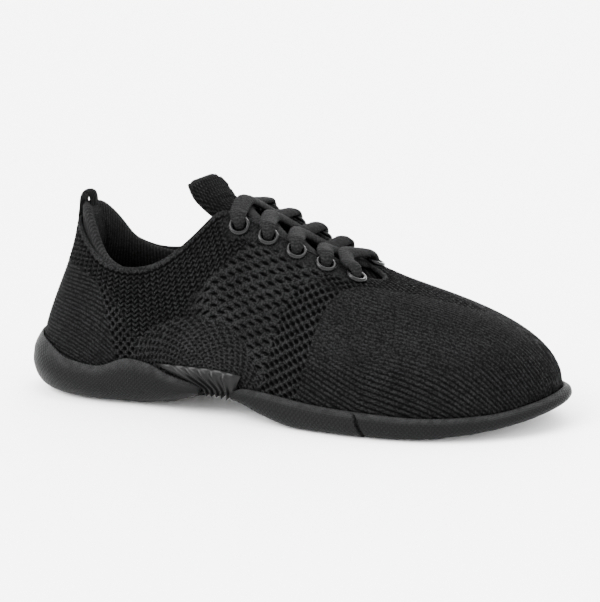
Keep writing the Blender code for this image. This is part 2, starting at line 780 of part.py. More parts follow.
def ribbon_mesh(name, path, normals):
    """A flat oval cord along a path, its flat side facing along the normals."""
    along = np.gradient(path, axis=0)
    across = np.cross(along, normals)
    across /= np.linalg.norm(across, axis=1)[:, None]
    face = np.cross(across, along)
    face /= np.linalg.norm(face, axis=1)[:, None]
    angles = np.linspace(0.0, 2 * math.pi, 8, endpoint=False) + math.pi / 8
    rings = [
        p + np.outer(np.cos(angles), a) * LACE_WIDTH / 2 + np.outer(np.sin(angles), f) * LACE_THICKNESS / 2
        for p, a, f in zip(path, across, face)
    ]
    return ring_solid(name, rings)


def tongue_top(x, lift):
    """The middle of the tongue at a place along the throat, and its outward direction."""
    low, high = tongue_section(x, 0.0), tongue_section(x, 1.0)
    middle = len(low) // 2
    out = high[middle] - low[middle]
    out /= np.linalg.norm(out)
    return low[middle] + out * lift, out


def over_eyelet(frame):
    """Where the lace lies over an eyelet, and its outward direction."""
    _, u, t = frame
    lift = 5 * GAP + EYELET_RIM + LACE_THICKNESS / 2
    low, high = upper_point([u, u], [t, t], [0.0, 1.0])
    return low + (high - low) * lift, high - low


def over_edge(frame):
    """Where the lace leaves the eyestay beside an eyelet, and its outward direction."""
    _, u, _ = frame
    lift = 3 * GAP + LACE_THICKNESS / 2
    low, high = upper_point([u, u], [0.99, 0.99], [0.0, 1.0])
    return low + (high - low) * lift, high - low


def beside_edge(frame):
    """Where the lace comes out from under the far eyestay, on the tongue, and its outward direction."""
    _, u, _ = frame
    x = float(rib_point([u], [1.0])[0, 0])
    low, high = tongue_section(x, 0.0), tongue_section(x, 1.0)
    column = 4 if u < TOE_SHARE else -5
    out = high[column] - low[column]
    out /= np.linalg.norm(out)
    return low[column] + out * (2 * GAP + LACE_THICKNESS / 2), out


def lace_half(name, upper_eye, lower_eye, collection):
    """One strand of a crossing: out from under the lower edge, over the tongue, to the upper eyelet."""
    lace_lift = 2 * GAP + LACE_THICKNESS / 2
    xs = [float(rib_point([f[1]], [1.0])[0, 0]) for f in (upper_eye, lower_eye)]
    stops = [over_eyelet(upper_eye), over_edge(upper_eye)]
    stops += [tongue_top(0.5 * sum(xs), lace_lift), beside_edge(lower_eye)]
    path = smooth_path([p for p, _ in stops], 8)
    normals = smooth_path([n for _, n in stops], 8)
    return add_object(name, ribbon_mesh(name, path, normals), collection)


def build_laces(parts, cutters, frames):
    """The bar across the lowest eyelets, and a joined pair of strands for each crossing above it."""
    cord = finish_material("lace")
    outer, inner = frames[:EYELETS_A_SIDE], frames[EYELETS_A_SIDE:]
    middle, out = tongue_top(FIRST_EYELET_X, 4 * GAP + LACE_THICKNESS * 1.5)
    stops = [over_eyelet(outer[0]), over_edge(outer[0]), (middle, out)]
    stops += [over_edge(inner[0]), over_eyelet(inner[0])]
    path = smooth_path([p for p, _ in stops], 11)
    bar = ribbon_mesh("lace_bar", path, smooth_path([n for _, n in stops], 11))
    add_object("lace_bar", bar, parts, cord)
    for k in range(EYELETS_A_SIDE - 1):
        crossing = lace_half(f"lace_crossing_{k + 1}", outer[k + 1], inner[k], parts)
        crossing.data.materials.append(cord)
        other = lace_half(f"lace_strand_{k + 1}", inner[k + 1], outer[k], cutters)
        add_boolean(crossing, make_helper(other), "UNION")


# Insole, collar padding and pull loop


def build_insole(parts):
    """A flat liner that fills the foot of the upper and lies on the sole's bed."""
    count = 48
    shares = np.roll(np.arange(count) / count, count // 2)
    x = foot_line(shares)[0][:, 0]

    def ring(inset, rise):
        points = upper_point(shares, np.zeros(count), np.full(count, -KNIT_WALL - inset))
        points[:, 2] = bed(x) + rise
        return points

    base = 2 * GAP
    rings = [ring(1.2, base), ring(0.7, INSOLE_THICKNESS), ring(1.6, base + INSOLE_THICKNESS)]
    add_object("insole", ring_solid("insole", rings), parts, finish_material("lining"))


def build_collar_pad(parts):
    """A padded roll inside the collar, thickest at the heel, that rises a little past the edge."""
    start, end = share_at_foot(COLLAR_PAD_END, True) - 1.0, share_at_foot(COLLAR_PAD_END, False)
    shares = np.linspace(start, end, 29)
    x = foot_line(shares)[0][:, 0]
    thickness = smooth_profile(x, PAD_STATIONS, "thickness")
    rise = smooth_profile(x, PAD_STATIONS, "rise")
    front, back = [], []
    for row in PAD_ROWS:
        t = np.where(row.t > 0.95, 0.95 + (row.t - 0.95) * (0.5 + rise), row.t)
        front.append(upper_point(shares, t, np.full(len(shares), -KNIT_WALL - GAP)))
        back.append(upper_point(shares, t, -KNIT_WALL - GAP - thickness * row.share))
    mesh = sheet_solid("collar_pad", np.array(front), np.array(back))
    add_object("collar_pad", mesh, parts, finish_material("lining"))


def build_heel_loop(parts):
    """A folded band: it runs up the back of the heel and loops forward over the collar's edge."""
    half = LOOP_WIDTH / 2 / RIB_SPACING.sum()
    shares = np.linspace(-half, half, 5)
    rows = [upper_point(shares, np.full(5, t), np.full(5, GAP)) for t in LOOP_RUN]
    along = rows[-1][2] - rows[-2][2]
    along /= np.linalg.norm(along)
    forward = np.array((along[2], 0.0, -along[0]))
    for fold in LOOP_FOLDS:
        rows.append(rows[len(LOOP_RUN) - 1] + along * fold.along + forward * fold.forward)
    points = np.array(rows)
    mesh = mesh_from("heel_loop", points.reshape(-1, 3), grid_faces(*points.shape[:2]))
    band = add_object("heel_loop", mesh, parts, finish_material("webbing"))
    wall = band.modifiers.new("band", "SOLIDIFY")
    wall.thickness = LOOP_THICKNESS * MM
    wall.offset = 1.0


def sole_middle():
    """The middle of the shoe's footprint on the floor."""
    foot, out = foot_line(np.linspace(0.0, 1.0, 2000, endpoint=False))
    edge = foot + out * SOLE_EDGE
    return np.array((*((edge.min(axis=0) + edge.max(axis=0)) / 2), 0.0))


ORIGIN = sole_middle()


def main():
    clear_scene()
    parts = new_collection("cheer_shoe")
    cutters = new_collection("cutters")
    frames = eyelet_frames()
    sleeve_room = build_sleeve(parts, cutters)
    build_sole(parts, cutters, sleeve_room)
    build_upper(parts, cutters, frames)
    build_eyelets(parts, frames)
    build_tongue(parts)
    build_laces(parts, cutters, frames)
    build_insole(parts)
    build_collar_pad(parts)
    build_heel_loop(parts)


main()
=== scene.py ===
"""Looks of the split-sole cheer and dance trainer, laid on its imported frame.

Shapes are worked out in millimetres in the part's own layout: x from the heel (0) to the toe, y from
the outer side of the foot (negative) to the inner side, z up from the floor. Points become metres,
about the middle of the footprint, when a mesh is made.
"""

import logging
import math
from collections import namedtuple
from dataclasses import dataclass
from enum import Enum
from typing import Callable, Sequence

import bmesh
import bpy
import numpy as np
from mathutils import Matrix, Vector


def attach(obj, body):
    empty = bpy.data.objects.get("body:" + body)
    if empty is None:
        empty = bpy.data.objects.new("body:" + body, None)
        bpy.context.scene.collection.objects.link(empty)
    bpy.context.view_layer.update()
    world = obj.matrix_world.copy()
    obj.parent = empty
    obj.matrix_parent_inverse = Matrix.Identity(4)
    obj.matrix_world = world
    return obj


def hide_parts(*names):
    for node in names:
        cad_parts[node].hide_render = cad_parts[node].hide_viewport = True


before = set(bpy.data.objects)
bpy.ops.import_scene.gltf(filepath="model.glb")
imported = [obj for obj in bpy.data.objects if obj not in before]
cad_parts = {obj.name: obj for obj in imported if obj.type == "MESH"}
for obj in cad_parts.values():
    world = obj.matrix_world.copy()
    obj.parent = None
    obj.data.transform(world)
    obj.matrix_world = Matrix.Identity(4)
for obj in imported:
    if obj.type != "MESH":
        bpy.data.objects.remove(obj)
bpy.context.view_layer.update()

log = logging.getLogger("cheer_shoe")
Array = np.ndarray
Mesh = bpy.types.Mesh

UP = np.array((0.0, 0.0, 1.0))
MM = 0.001
BODY = "root"
GAP = 0.3
KNIT_WALL = 2.0
SOLE_EDGE = 4.5
LIP = 1.3

Rib = namedtuple("Rib", "name foot_x foot_outer foot_inner bulge rise top_x top_half top_z reach fall")
RIBS = (
    Rib("heel_back", 4.5, 0.0, 0.0, 1.0, 22.0, 24.0, 0.0, 80.0, 2.0, 22.0),
    Rib("heel_turn", 11.5, -19.0, 19.0, 1.6, 22.0, 27.5, 12.5, 78.5, 2.5, 21.0),
    Rib("heel_side", 32.0, -28.0, 27.5, 2.8, 20.0, 39.5, 22.5, 67.5, 3.5, 18.0),
    Rib("ankle", 60.0, -29.5, 27.0, 3.4, 18.0, 58.0, 26.5, 62.0, 4.0, 16.0),
    Rib("waist", 92.0, -32.0, 25.0, 4.0, 20.0, 78.0, 26.0, 69.0, 5.0, 17.0),
    Rib("arch_front", 118.0, -36.0, 28.0, 4.0, 24.0, 93.0, 22.5, 83.0, 7.0, 17.0),
    Rib("instep", 142.0, -40.0, 34.0, 3.5, 26.0, 104.0, 17.5, 88.5, 9.0, 13.0),
    Rib("ball", 168.0, -42.0, 39.0, 3.0, 26.0, 128.0, 15.5, 78.0, 12.0, 9.0),
    Rib("toe_joint", 195.0, -38.5, 40.0, 3.0, 25.0, 148.0, 13.0, 68.5, 17.0, 7.0),
    Rib("toe_side", 219.0, -28.5, 36.0, 3.0, 25.0, 161.0, 9.5, 62.3, 26.0, 7.0),
    Rib("toe_turn", 236.0, -14.0, 27.0, 3.0, 25.0, 166.5, 5.0, 60.2, 36.0, 8.0),
    Rib("toe_tip", 245.5, 8.0, 8.0, 3.0, 25.0, 168.0, 0.0, 59.8, 42.0, 9.0),
)

Level = namedtuple("Level", "x bed ground")
LEVELS = (
    Level(0.0, 12.5, 1.0),
    Level(12.0, 12.0, 0.4),
    Level(60.0, 12.0, 0.4),
    Level(76.0, 12.1, 2.4),
    Level(95.0, 12.4, 8.6),
    Level(103.0, 12.5, 9.6),
    Level(111.0, 11.9, 8.8),
    Level(124.0, 10.4, 3.6),
    Level(140.0, 8.8, 0.0),
    Level(190.0, 7.0, 0.0),
    Level(212.0, 7.5, 2.0),
    Level(232.0, 9.8, 5.4),
    Level(250.0, 13.5, 10.0),
)

Point = namedtuple("Point", "x y")


def table(*pairs: tuple[float, float]) -> tuple[Point, ...]:
    """Pairs of numbers as the rows of a table along x."""
    return tuple(Point(*pair) for pair in pairs)


HEEL_WALL = table(
    (0.0, 27.0), (12.0, 25.5), (28.0, 19.0), (42.0, 17.5),
    (60.0, 22.5), (70.0, 21.0), (80.0, 16.8), (95.0, 12.9),
)
FOREFOOT_WALL = table(
    (111.0, 13.4), (118.0, 15.0), (130.0, 14.4), (150.0, 12.2), (172.0, 11.0),
    (198.0, 9.8), (220.0, 10.6), (236.0, 13.2), (250.0, 17.0),
)


# Curves


def smooth_profile(x: Array, rows: Sequence, column: str = "y") -> Array:
    """Value read from a table along x, smooth, without overshoot.

    Args:
        x: Places to read.
        rows: Table rows with an x field, in rising order.
        column: Name of the field to read.

    Returns:
        One value for each place, held at the table's ends.
    """
    knots = np.array([row.x for row in rows])
    values = np.array([getattr(row, column) for row in rows])
    run = np.diff(knots)
    slope = np.diff(values) / run
    ends = np.zeros(len(rows))
    flat = slope[:-1] * slope[1:] <= 0
    mean = 2 * slope[:-1] * slope[1:] / np.where(flat, 1.0, slope[:-1] + slope[1:])
    ends[1:-1] = np.where(flat, 0.0, mean)
    ends[0], ends[-1] = slope[0], slope[-1]
    x = np.clip(np.asarray(x, float), knots[0], knots[-1])
    i = np.clip(np.searchsorted(knots, x, side="right") - 1, 0, len(run) - 1)
    s = (x - knots[i]) / run[i]
    rise = values[i] * (1 + 2 * s) * (1 - s) ** 2 + values[i + 1] * s**2 * (3 - 2 * s)
    return rise + run[i] * s * (1 - s) * (ends[i] * (1 - s) - ends[i + 1] * s)


def smooth_step(value: Array, low: float, high: float) -> Array:
    """0 before low, 1 after high, smooth between; low may be the larger."""
    s = np.clip((np.asarray(value, float) - low) / (high - low), 0.0, 1.0)
    return s * s * (3 - 2 * s)


def hump(value: Array, middle: float, half: float) -> Array:
    """A soft bump of height 1 about the middle, 0 from half away on."""
    s = np.clip(np.abs(np.asarray(value, float) - middle) / half, 0.0, 1.0)
    return (1 - s * s) ** 2


def smooth_path(points: Sequence, count: int) -> Array:
    """Evenly counted points along a smooth curve through the given ones.

    Args:
        points: Stops of the curve.
        count: How many points to make.

    Returns:
        One row for each point.
    """
    points = np.array(points, float)
    padded = np.concatenate([[2 * points[0] - points[1]], points, [2 * points[-1] - points[-2]]])
    place = np.linspace(0.0, len(points) - 1.0, count)
    i = np.minimum(place.astype(int), len(points) - 2)
    s = (place - i)[:, None]
    a, b, c, d = (padded[i + k] for k in range(4))
    bend = (2 * a - 5 * b + 4 * c - d) * s**2 + (3 * b - a - 3 * c + d) * s**3
    return 0.5 * (2 * b + (c - a) * s + bend)


def run_length(points: Array) -> Array:
    """Length along a line of points, from its start to each of them."""
    return np.concatenate([[0.0], np.cumsum(np.linalg.norm(np.diff(points, axis=0), axis=1))])


def ripple(value: Array, pitch: float) -> Array:
    """A cosine wave from 0 to 1, with its crests a pitch apart."""
    return 0.5 + 0.5 * np.cos(2 * math.pi * value / pitch)


def even_path(points: Sequence, count: int) -> Array:
    """Points at even lengths along a smooth curve through the given ones.

    Args:
        points: Stops of the curve; numbers after the first three are carried along.
        count: How many points to make.

    Returns:
        One row for each point.
    """
    fine = smooth_path(points, 40 * len(points))
    length = run_length(fine[:, :3])
    wanted = np.linspace(0.0, length[-1], count)
    return np.column_stack([np.interp(wanted, length, fine[:, k]) for k in range(fine.shape[1])])


def unit(vectors: Array) -> Array:
    """The vectors scaled to length 1."""
    return vectors / np.maximum(np.linalg.norm(vectors, axis=-1), 1e-9)[..., None]


class ClosedSpline:
    """A smooth closed curve through rows of values, by the length between them."""

    def __init__(self, values: Array, lengths: Array) -> None:
        """Works out the curve's bends.

        Args:
            values: The rows it goes through.
            lengths: Length from each row to the next.
        """
        count = len(values)
        self.values = values
        self.starts = np.concatenate([[0.0], np.cumsum(lengths)])
        self.run = lengths
        before, after = np.roll(lengths, 1), lengths
        system = np.zeros((count, count))
        rows = np.arange(count)
        system[rows, rows] = 2 * (before + after)
        system[rows, rows - 1] += before
        system[rows, (rows + 1) % count] += after
        slope = (np.roll(values, -1, axis=0) - values) / after[:, None]
        self.bend = np.linalg.solve(system, 6 * (slope - np.roll(slope, 1, axis=0)))

    def __call__(self, share: Array) -> Array:
        """Values at a share of the way round, any number of turns.

        Args:
            share: Shares of the way round.

        Returns:
            One row of values for each share.
        """
        place = np.mod(np.asarray(share, float), 1.0) * self.starts[-1]
        i = np.clip(np.searchsorted(self.starts, place, side="right") - 1, 0, len(self.run) - 1)
        following = (i + 1) % len(self.run)
        h = self.run[i][:, None]
        b = (place - self.starts[i])[:, None] / h
        a = 1 - b
        straight = a * self.values[i] + b * self.values[following]
        curve = (a**3 - a) * self.bend[i] + (b**3 - b) * self.bend[following]
        return straight + curve * h**2 / 6


class ShoeForm:
    """The last: the upper's outer face as a function of the way round the shoe and up its ribs."""

    STEP = 1e-4

    def __init__(self) -> None:
        """Lays a curve through the ribs' table, and finds the middle of the footprint."""
        outer = [(r, r.foot_outer, -r.top_half) for r in RIBS]
        inner = [(r, r.foot_inner, r.top_half) for r in RIBS[-2:0:-1]]
        rows = [
            (r.foot_x, foot_y, r.top_x, top_y, r.top_z, r.bulge, r.rise, r.reach, r.fall)
            for r, foot_y, top_y in outer + inner
        ]
        values = np.array(rows, float)
        lengths = np.linalg.norm(np.roll(values[:, :2], -1, axis=0) - values[:, :2], axis=1)
        self.curve = ClosedSpline(values, lengths)
        self.girth = float(lengths.sum())
        self.toe = float(lengths[: len(RIBS) - 1].sum() / lengths.sum())
        foot, out = self.foot_line(np.linspace(0.0, 1.0, 2000, endpoint=False))
        edge = foot + out * SOLE_EDGE
        self.origin = np.array((*((edge.min(axis=0) + edge.max(axis=0)) / 2), 0.0))

    @staticmethod
    def bed(x: Array) -> Array:
        """Height of the bed that carries the foot."""
        return smooth_profile(x, LEVELS, "bed")

    @staticmethod
    def ground(x: Array) -> Array:
        """Height of the sole's underside."""
        return smooth_profile(x, LEVELS, "ground")

    def foot_line(self, u: Array) -> tuple[Array, Array]:
        """Points of the upper's foot line in plan, and the direction out of the shoe there.

        Args:
            u: Shares of the way round the shoe.

        Returns:
            The points and the directions, in plan.
        """
        u = np.asarray(u, float)
        along = unit(self.curve(u + self.STEP)[:, :2] - self.curve(u - self.STEP)[:, :2])
        return self.curve(u)[:, :2], np.column_stack([along[:, 1], -along[:, 0]])

    def rib_point(self, u: Array, t: Array | float) -> Array:
        """Outer face of the upper.

        Args:
            u: Share of the way round the shoe, from the back of the heel along the outer side.
            t: Share of the way up a rib, from the sole to the top line.

        Returns:
            Points of the two arguments' common shape, in millimetres.
        """
        u, t = np.broadcast_arrays(np.asarray(u, float), np.asarray(t, float))
        shape = u.shape
        u, t = u.ravel(), t.ravel()[:, None]
        row = self.curve(u)
        plan, out = self.foot_line(u)
        foot = np.column_stack([plan, self.bed(plan[:, 0]) + GAP])
        top = row[:, 2:5]
        bulge, rise, reach, fall = (row[:, k : k + 1] for k in range(5, 9))
        out = np.column_stack([out, np.zeros(len(u))])
        side = np.column_stack([-out[:, 1], out[:, 0], np.zeros(len(u))])
        drift = side * ((top - foot) * side).sum(axis=1)[:, None] / 3
        low = foot + drift + out * bulge + UP * rise
        high = top - drift + out * reach - UP * fall
        s = 1 - t
        return (s**3 * foot + 3 * s**2 * t * low + 3 * s * t**2 * high + t**3 * top).reshape(*shape, 3)

    def normal(self, u: Array, t: Array | float) -> Array:
        """Direction out of the upper's face.

        Args:
            u: Share of the way round the shoe.
            t: Share of the way up a rib.

        Returns:
            Unit vectors of the arguments' common shape.
        """
        u, t = np.broadcast_arrays(np.asarray(u, float), np.asarray(t, float))
        around = self.rib_point(u + self.STEP, t) - self.rib_point(u - self.STEP, t)
        up_rib = self.rib_point(u, t + self.STEP) - self.rib_point(u, t - self.STEP)
        return unit(np.cross(around, up_rib))

    def point(self, u: Array, t: Array | float, lift: Array | float) -> Array:
        """A point lifted off the upper's outer face.

        Args:
            u: Share of the way round the shoe.
            t: Share of the way up a rib.
            lift: Distance off the face, outwards if positive.

        Returns:
            Points of the arguments' common shape.
        """
        lift = np.asarray(lift, float)[..., None]
        return self.rib_point(u, t) + self.normal(u, t) * lift

    def height_share(self, u: Array, z: Array) -> Array:
        """How far up each rib a height lies.

        Args:
            u: Shares of the way round the shoe.
            z: A height for each.

        Returns:
            A share of the way up each rib.
        """
        ts = np.linspace(0.0, 0.7, 60)
        heights = self.rib_point(np.asarray(u)[:, None], ts[None, :])[..., 2]
        return np.array([np.interp(level, column, ts) for level, column in zip(z, heights)])

    def share_at(self, value: Array, inner_side: bool, top: bool) -> Array:
        """The share round the shoe where the foot line, or the top line, is at a place along it.

        Args:
            value: Places along the foot.
            inner_side: Look on the inner side of the foot.
            top: Look along the top line.

        Returns:
            A share for each place.
        """
        span = np.linspace(self.toe, 1.0 - 1e-9, 800) if inner_side else np.linspace(0.0, self.toe, 800)
        found = self.curve(span)[:, 2 if top else 0]
        order = np.argsort(found)
        return np.interp(np.asarray(value, float), found[order], span[order])


FORM = ShoeForm()


# Meshes


def mesh_from(name: str, points: Array, faces: Sequence) -> Mesh:
    """A smooth-shaded mesh in metres from points in millimetres.

    Args:
        name: Name of the mesh.
        points: Its points, in the part's own layout.
        faces: Corner numbers of each face.

    Returns:
        The mesh.
    """
    mesh = bpy.data.meshes.new(name)
    placed = (np.asarray(points, float).reshape(-1, 3) - FORM.origin) * MM
    mesh.from_pydata(placed.tolist(), [], faces.tolist() if isinstance(faces, Array) else faces)
    mesh.shade_smooth()
    return mesh


def places_of(mesh: Mesh) -> Array:
    """The mesh's points, in millimetres from the middle of the footprint.

    Args:
        mesh: The mesh.

    Returns:
        One row for each point.
    """
    flat = np.empty(3 * len(mesh.vertices))
    mesh.vertices.foreach_get("co", flat)
    return flat.reshape(-1, 3) / MM


def grid_faces(rows: int, columns: int, round_columns: bool = False, round_rows: bool = False) -> Array:
    """Quads of a grid of points stored row after row.

    Args:
        rows: Number of rows.
        columns: Number of columns.
        round_columns: Join the last column to the first.
        round_rows: Join the last row to the first.

    Returns:
        An array of four corner numbers for each face.
    """
    r = np.arange(rows if round_rows else rows - 1)[:, None]
    c = np.arange(columns if round_columns else columns - 1)[None, :]
    r2, c2 = (r + 1) % rows, (c + 1) % columns
    corners = [r * columns + c, r * columns + c2, r2 * columns + c2, r2 * columns + c]
    return np.stack(np.broadcast_arrays(*corners), axis=-1).reshape(-1, 4)


def add_piece(mesh: Mesh, material: bpy.types.Material, slot: str, *nodes: str) -> bpy.types.Object:
    """Puts a finished mesh in the scene as a piece of the shoe.

    Args:
        mesh: The mesh, named as the piece.
        material: Its finish.
        slot: The record's material slot that it belongs to.
        nodes: The CAD nodes that it stands for.

    Returns:
        The new object, riding on the shoe's body.
    """
    mesh.materials.clear()
    mesh.materials.append(material)
    piece = bpy.data.objects.new(mesh.name, mesh)
    bpy.context.scene.collection.objects.link(piece)
    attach(piece, BODY)
    if nodes:
        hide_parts(*nodes)
    log.info("%s: %d faces", piece.name, len(mesh.polygons))
    return piece


def set_attribute(mesh: Mesh, name: str, values: Array) -> None:
    """Stores one number for each point of a mesh."""
    mesh.attributes.new(name, "FLOAT", "POINT").data.foreach_set("value", np.ravel(values).astype(np.float32))


def set_uv(mesh: Mesh, uv: Array) -> None:
    """Stores a UV map, in millimetres of cloth, from a pair of numbers for each point.

    Args:
        mesh: The mesh.
        uv: The pairs.
    """
    corners = np.empty(len(mesh.loops), np.int32)
    mesh.loops.foreach_get("vertex_index", corners)
    layer = mesh.uv_layers.new(name="cloth")
    layer.data.foreach_set("uv", np.reshape(uv, (-1, 2))[corners].astype(np.float32).ravel())


def grid_uv(points: Array) -> Array:
    """Lengths across and along a grid of points, in millimetres, as a UV pair for each.

    Args:
        points: Rows of points.

    Returns:
        A grid of pairs.
    """
    along = np.zeros(points.shape[:2])
    across = np.zeros(points.shape[:2])
    along[1:] = np.cumsum(np.linalg.norm(np.diff(points, axis=0), axis=2).mean(axis=1))[:, None]
    across[:, 1:] = np.cumsum(np.linalg.norm(np.diff(points, axis=1), axis=2).mean(axis=0))[None, :]
    return np.stack([across, along], axis=-1)


def tube_rings(
    path: Array, normals: Array, half_width: Array, half_thick: Array, sides: int
) -> Array:
    """Rings of points round an oval cord along a path.

    Args:
        path: Points of its middle line.
        normals: The way its flat side faces at each point.
        half_width: Half its width at each point.
        half_thick: Half its thickness at each point.
        sides: Points round it.

    Returns:
        One ring for each point of the path.
    """
    along = unit(np.gradient(path, axis=0))
    across = unit(np.cross(along, normals))
    face = np.cross(across, along)
    angles = np.linspace(0.0, 2 * math.pi, sides, endpoint=False)
    wide = across[:, None] * (np.cos(angles)[:, None] * half_width[:, None, None])
    thick = face[:, None] * (np.sin(angles)[:, None] * half_thick[:, None, None])
    return path[:, None] + wide + thick


def ring_mesh(name: str, rings: Array) -> Mesh:
    """A closed solid through a stack of rings, its ends closed by fans about their middles.

    Args:
        name: Name of the mesh.
        rings: The rings, of one count.

    Returns:
        The mesh, the two middles last.
    """
    rows, columns = rings.shape[:2]
    faces = grid_faces(rows, columns, round_columns=True).tolist()
    count = rows * columns
    for c in range(columns):
        d = (c + 1) % columns
        faces.append([d, c, count])
        faces.append([count - columns + c, count - columns + d, count + 1])
    points = np.concatenate([rings.reshape(-1, 3), [rings[0].mean(axis=0)], [rings[-1].mean(axis=0)]])
    mesh = mesh_from(name, points, faces)
    face_out(mesh)
    return mesh


def ring_uv(lengths: Array, sides: int, girth: float) -> Array:
    """The cloth map of a ring mesh.

    Args:
        lengths: Length along it at each ring.
        sides: Points round it.
        girth: Length round it.

    Returns:
        A UV pair for each point, the middles of its ends last.
    """
    around, along = np.meshgrid(np.linspace(0.0, girth, sides), lengths)
    ends = [[0.0, 0.0], [0.0, lengths[-1]]]
    return np.concatenate([np.stack([around, along], axis=-1).reshape(-1, 2), ends])


def face_out(mesh: Mesh, weld: bool = False) -> None:
    """Turns the faces of a closed mesh outwards and shades it smooth.

    Args:
        mesh: The mesh.
        weld: Join the points that meet first.
    """
    work = bmesh.new()
    work.from_mesh(mesh)
    if weld:
        bmesh.ops.remove_doubles(work, verts=work.verts, dist=2e-6)
        bmesh.ops.dissolve_degenerate(work, edges=work.edges, dist=1e-6)
    bmesh.ops.recalc_face_normals(work, faces=work.faces)
    work.to_mesh(mesh)
    work.free()
    mesh.shade_smooth()


def frozen_mesh(carrier: bpy.types.Object, name: str) -> Mesh:
    """The carrier's evaluated result as a plain mesh; the carrier is removed.

    Args:
        carrier: An object with modifiers.
        name: Name of the mesh.

    Returns:
        The mesh.
    """
    graph = bpy.context.evaluated_depsgraph_get()
    made = carrier.evaluated_get(graph)
    mesh = bpy.data.meshes.new_from_object(made, preserve_all_data_layers=True, depsgraph=graph)
    mesh.name = name
    old = carrier.data
    bpy.data.objects.remove(carrier, do_unlink=True)
    if old is not None and old.users == 0:
        bpy.data.meshes.remove(old)
    return mesh


# Shader node groups, shared by the finishes

Socket = bpy.types.NodeSocket


class Nodes:
    """Short hand for building one node tree."""

    def __init__(self, tree: bpy.types.NodeTree) -> None:
        """Keeps the tree."""
        self.tree = tree

    def add(self, kind: str, feeds: dict | None = None, **settings: object) -> bpy.types.Node:
        """A new node.

        Args:
            kind: Blender's name of its kind.
            feeds: A socket to link or a fixed value for each input, by name or number.
            settings: Its properties.

        Returns:
            The node.
        """
        node = self.tree.nodes.new(kind)
        for key, value in settings.items():
            setattr(node, key, value)
        self.feed(node, feeds or {})
        return node

    def feed(self, node: bpy.types.Node, feeds: dict) -> None:
        """Gives inputs of a node a link or a fixed value.

        Args:
            node: The node.
            feeds: A socket to link or a fixed value for each input, by name or number.
        """
        for name, value in feeds.items():
            if isinstance(value, Socket):
                self.tree.links.new(value, node.inputs[name])
            else:
                node.inputs[name].default_value = value

    def mix(self, factor: Socket, low: Socket | tuple, high: Socket | tuple) -> Socket:
        """A colour between two colours.

        Args:
            factor: 0 for the low colour, 1 for the high one.
            low: The low colour.
            high: The high colour.

        Returns:
            The mixed colour.
        """
        node = self.add("ShaderNodeMix", data_type="RGBA")
        numbers = {socket.identifier: i for i, socket in enumerate(node.inputs)}
        given = {"Factor_Float": factor, "A_Color": low, "B_Color": high}
        self.feed(node, {numbers[name]: value for name, value in given.items()})
        return next(socket for socket in node.outputs if socket.identifier == "Result_Color")

    def math(self, operation: str, a: Socket | float, b: Socket | float = 0.0) -> Socket:
        """The result of a Math node's operation on one or two values."""
        return self.add("ShaderNodeMath", {0: a, 1: b}, operation=operation).outputs[0]

    def ramp(
        self, value: Socket, low: float, high: float, out_low: Socket | float = 0.0, out_high: float = 1.0
    ) -> Socket:
        """A value mapped smoothly from one range to another.

        Args:
            value: The value.
            low: Start of its range.
            high: End of its range.
            out_low: Result at the start.
            out_high: Result at the end.

        Returns:
            The result.
        """
        feeds = {"Value": value, "From Min": low, "From Max": high, "To Min": out_low, "To Max": out_high}
        return self.add("ShaderNodeMapRange", feeds, interpolation_type="SMOOTHSTEP").outputs[0]

    def noise(self, vector: Socket, scale: float, detail: float, rough: float = 0.55) -> Socket:
        """Noise about 0.5, of a scale, with finer layers that fade as they are rough."""
        feeds = {"Vector": vector, "Scale": scale, "Detail": detail, "Roughness": rough}
        return self.add("ShaderNodeTexNoise", feeds).outputs["Fac"]

    def wave(self, place: Socket, pitch: float) -> Socket:
        """A cosine wave from 0 to 1, with its crests a pitch apart."""
        wave = self.math("COSINE", self.math("MULTIPLY", place, 2 * math.pi / pitch))
        return self.math("ADD", self.math("MULTIPLY", wave, 0.5), 0.5)


GroupParts = tuple[bpy.types.NodeTree, Nodes, bpy.types.Node, bpy.types.Node]


NUMBER = "NodeSocketFloat"


def node_group(name: str, kind: str, inputs: dict, outputs: dict) -> GroupParts:
    """An empty node group with its sockets.

    Args:
        name: Name of the group.
        kind: Blender's name of its kind.
        inputs: Socket type and start value of each input, by name.
        outputs: Socket type of each output, by name.

    Returns:
        The group, a helper for its nodes, its input node and its output node.
    """
    tree = bpy.data.node_groups.new(name, kind)
    for label, (socket_type, start) in inputs.items():
        socket = tree.interface.new_socket(label, in_out="INPUT", socket_type=socket_type)
        if start is not None:
            socket.default_value = start
    for label, socket_type in outputs.items():
        tree.interface.new_socket(label, in_out="OUTPUT", socket_type=socket_type)
    kit = Nodes(tree)
    return tree, kit, kit.add("NodeGroupInput"), kit.add("NodeGroupOutput")


def uneven_tone() -> bpy.types.NodeTree:
    """The group that varies a finish: soft patches of tone all over it, and flecks as small as a yarn that
    are painted glints of the yarn; made once.

    Returns:
        The group.
    """
    name = "Uneven Tone"
    if name in bpy.data.node_groups:
        return bpy.data.node_groups[name]
    inputs = {"Place": ("NodeSocketVector", None), "Mottle": (NUMBER, 0.0), "Fleck": (NUMBER, 0.0)}
    tree, kit, source, target = node_group(name, "ShaderNodeTree", inputs, {"Tone": NUMBER})
    place = source.outputs["Place"]
    faded, dark = (kit.math("SUBTRACT", 1.0, source.outputs[label]) for label in ("Mottle", "Fleck"))
    patches = kit.ramp(kit.noise(place, 55.0, 3.0), 0.3, 0.7, faded)
    # Painted glints: random lighter and darker flecks the size of a yarn stand in for the yarn's glints
    glint_flecks = kit.ramp(kit.noise(place, 1300.0, 1.0), 0.39, 0.61, dark)
    kit.feed(target, {"Tone": kit.math("MULTIPLY", patches, glint_flecks)})
    return tree


class Detail(Enum):
    """The fine surface of a finish, made by its node group."""

    YARN = "Fine Yarn"
    BRAID = "Braided Cord"
    BAND = "Woven Band"
    KNURL = "Crossed Knurl"
    MOULDED = "Moulded Rubber"
    METAL = "Enamelled Metal"


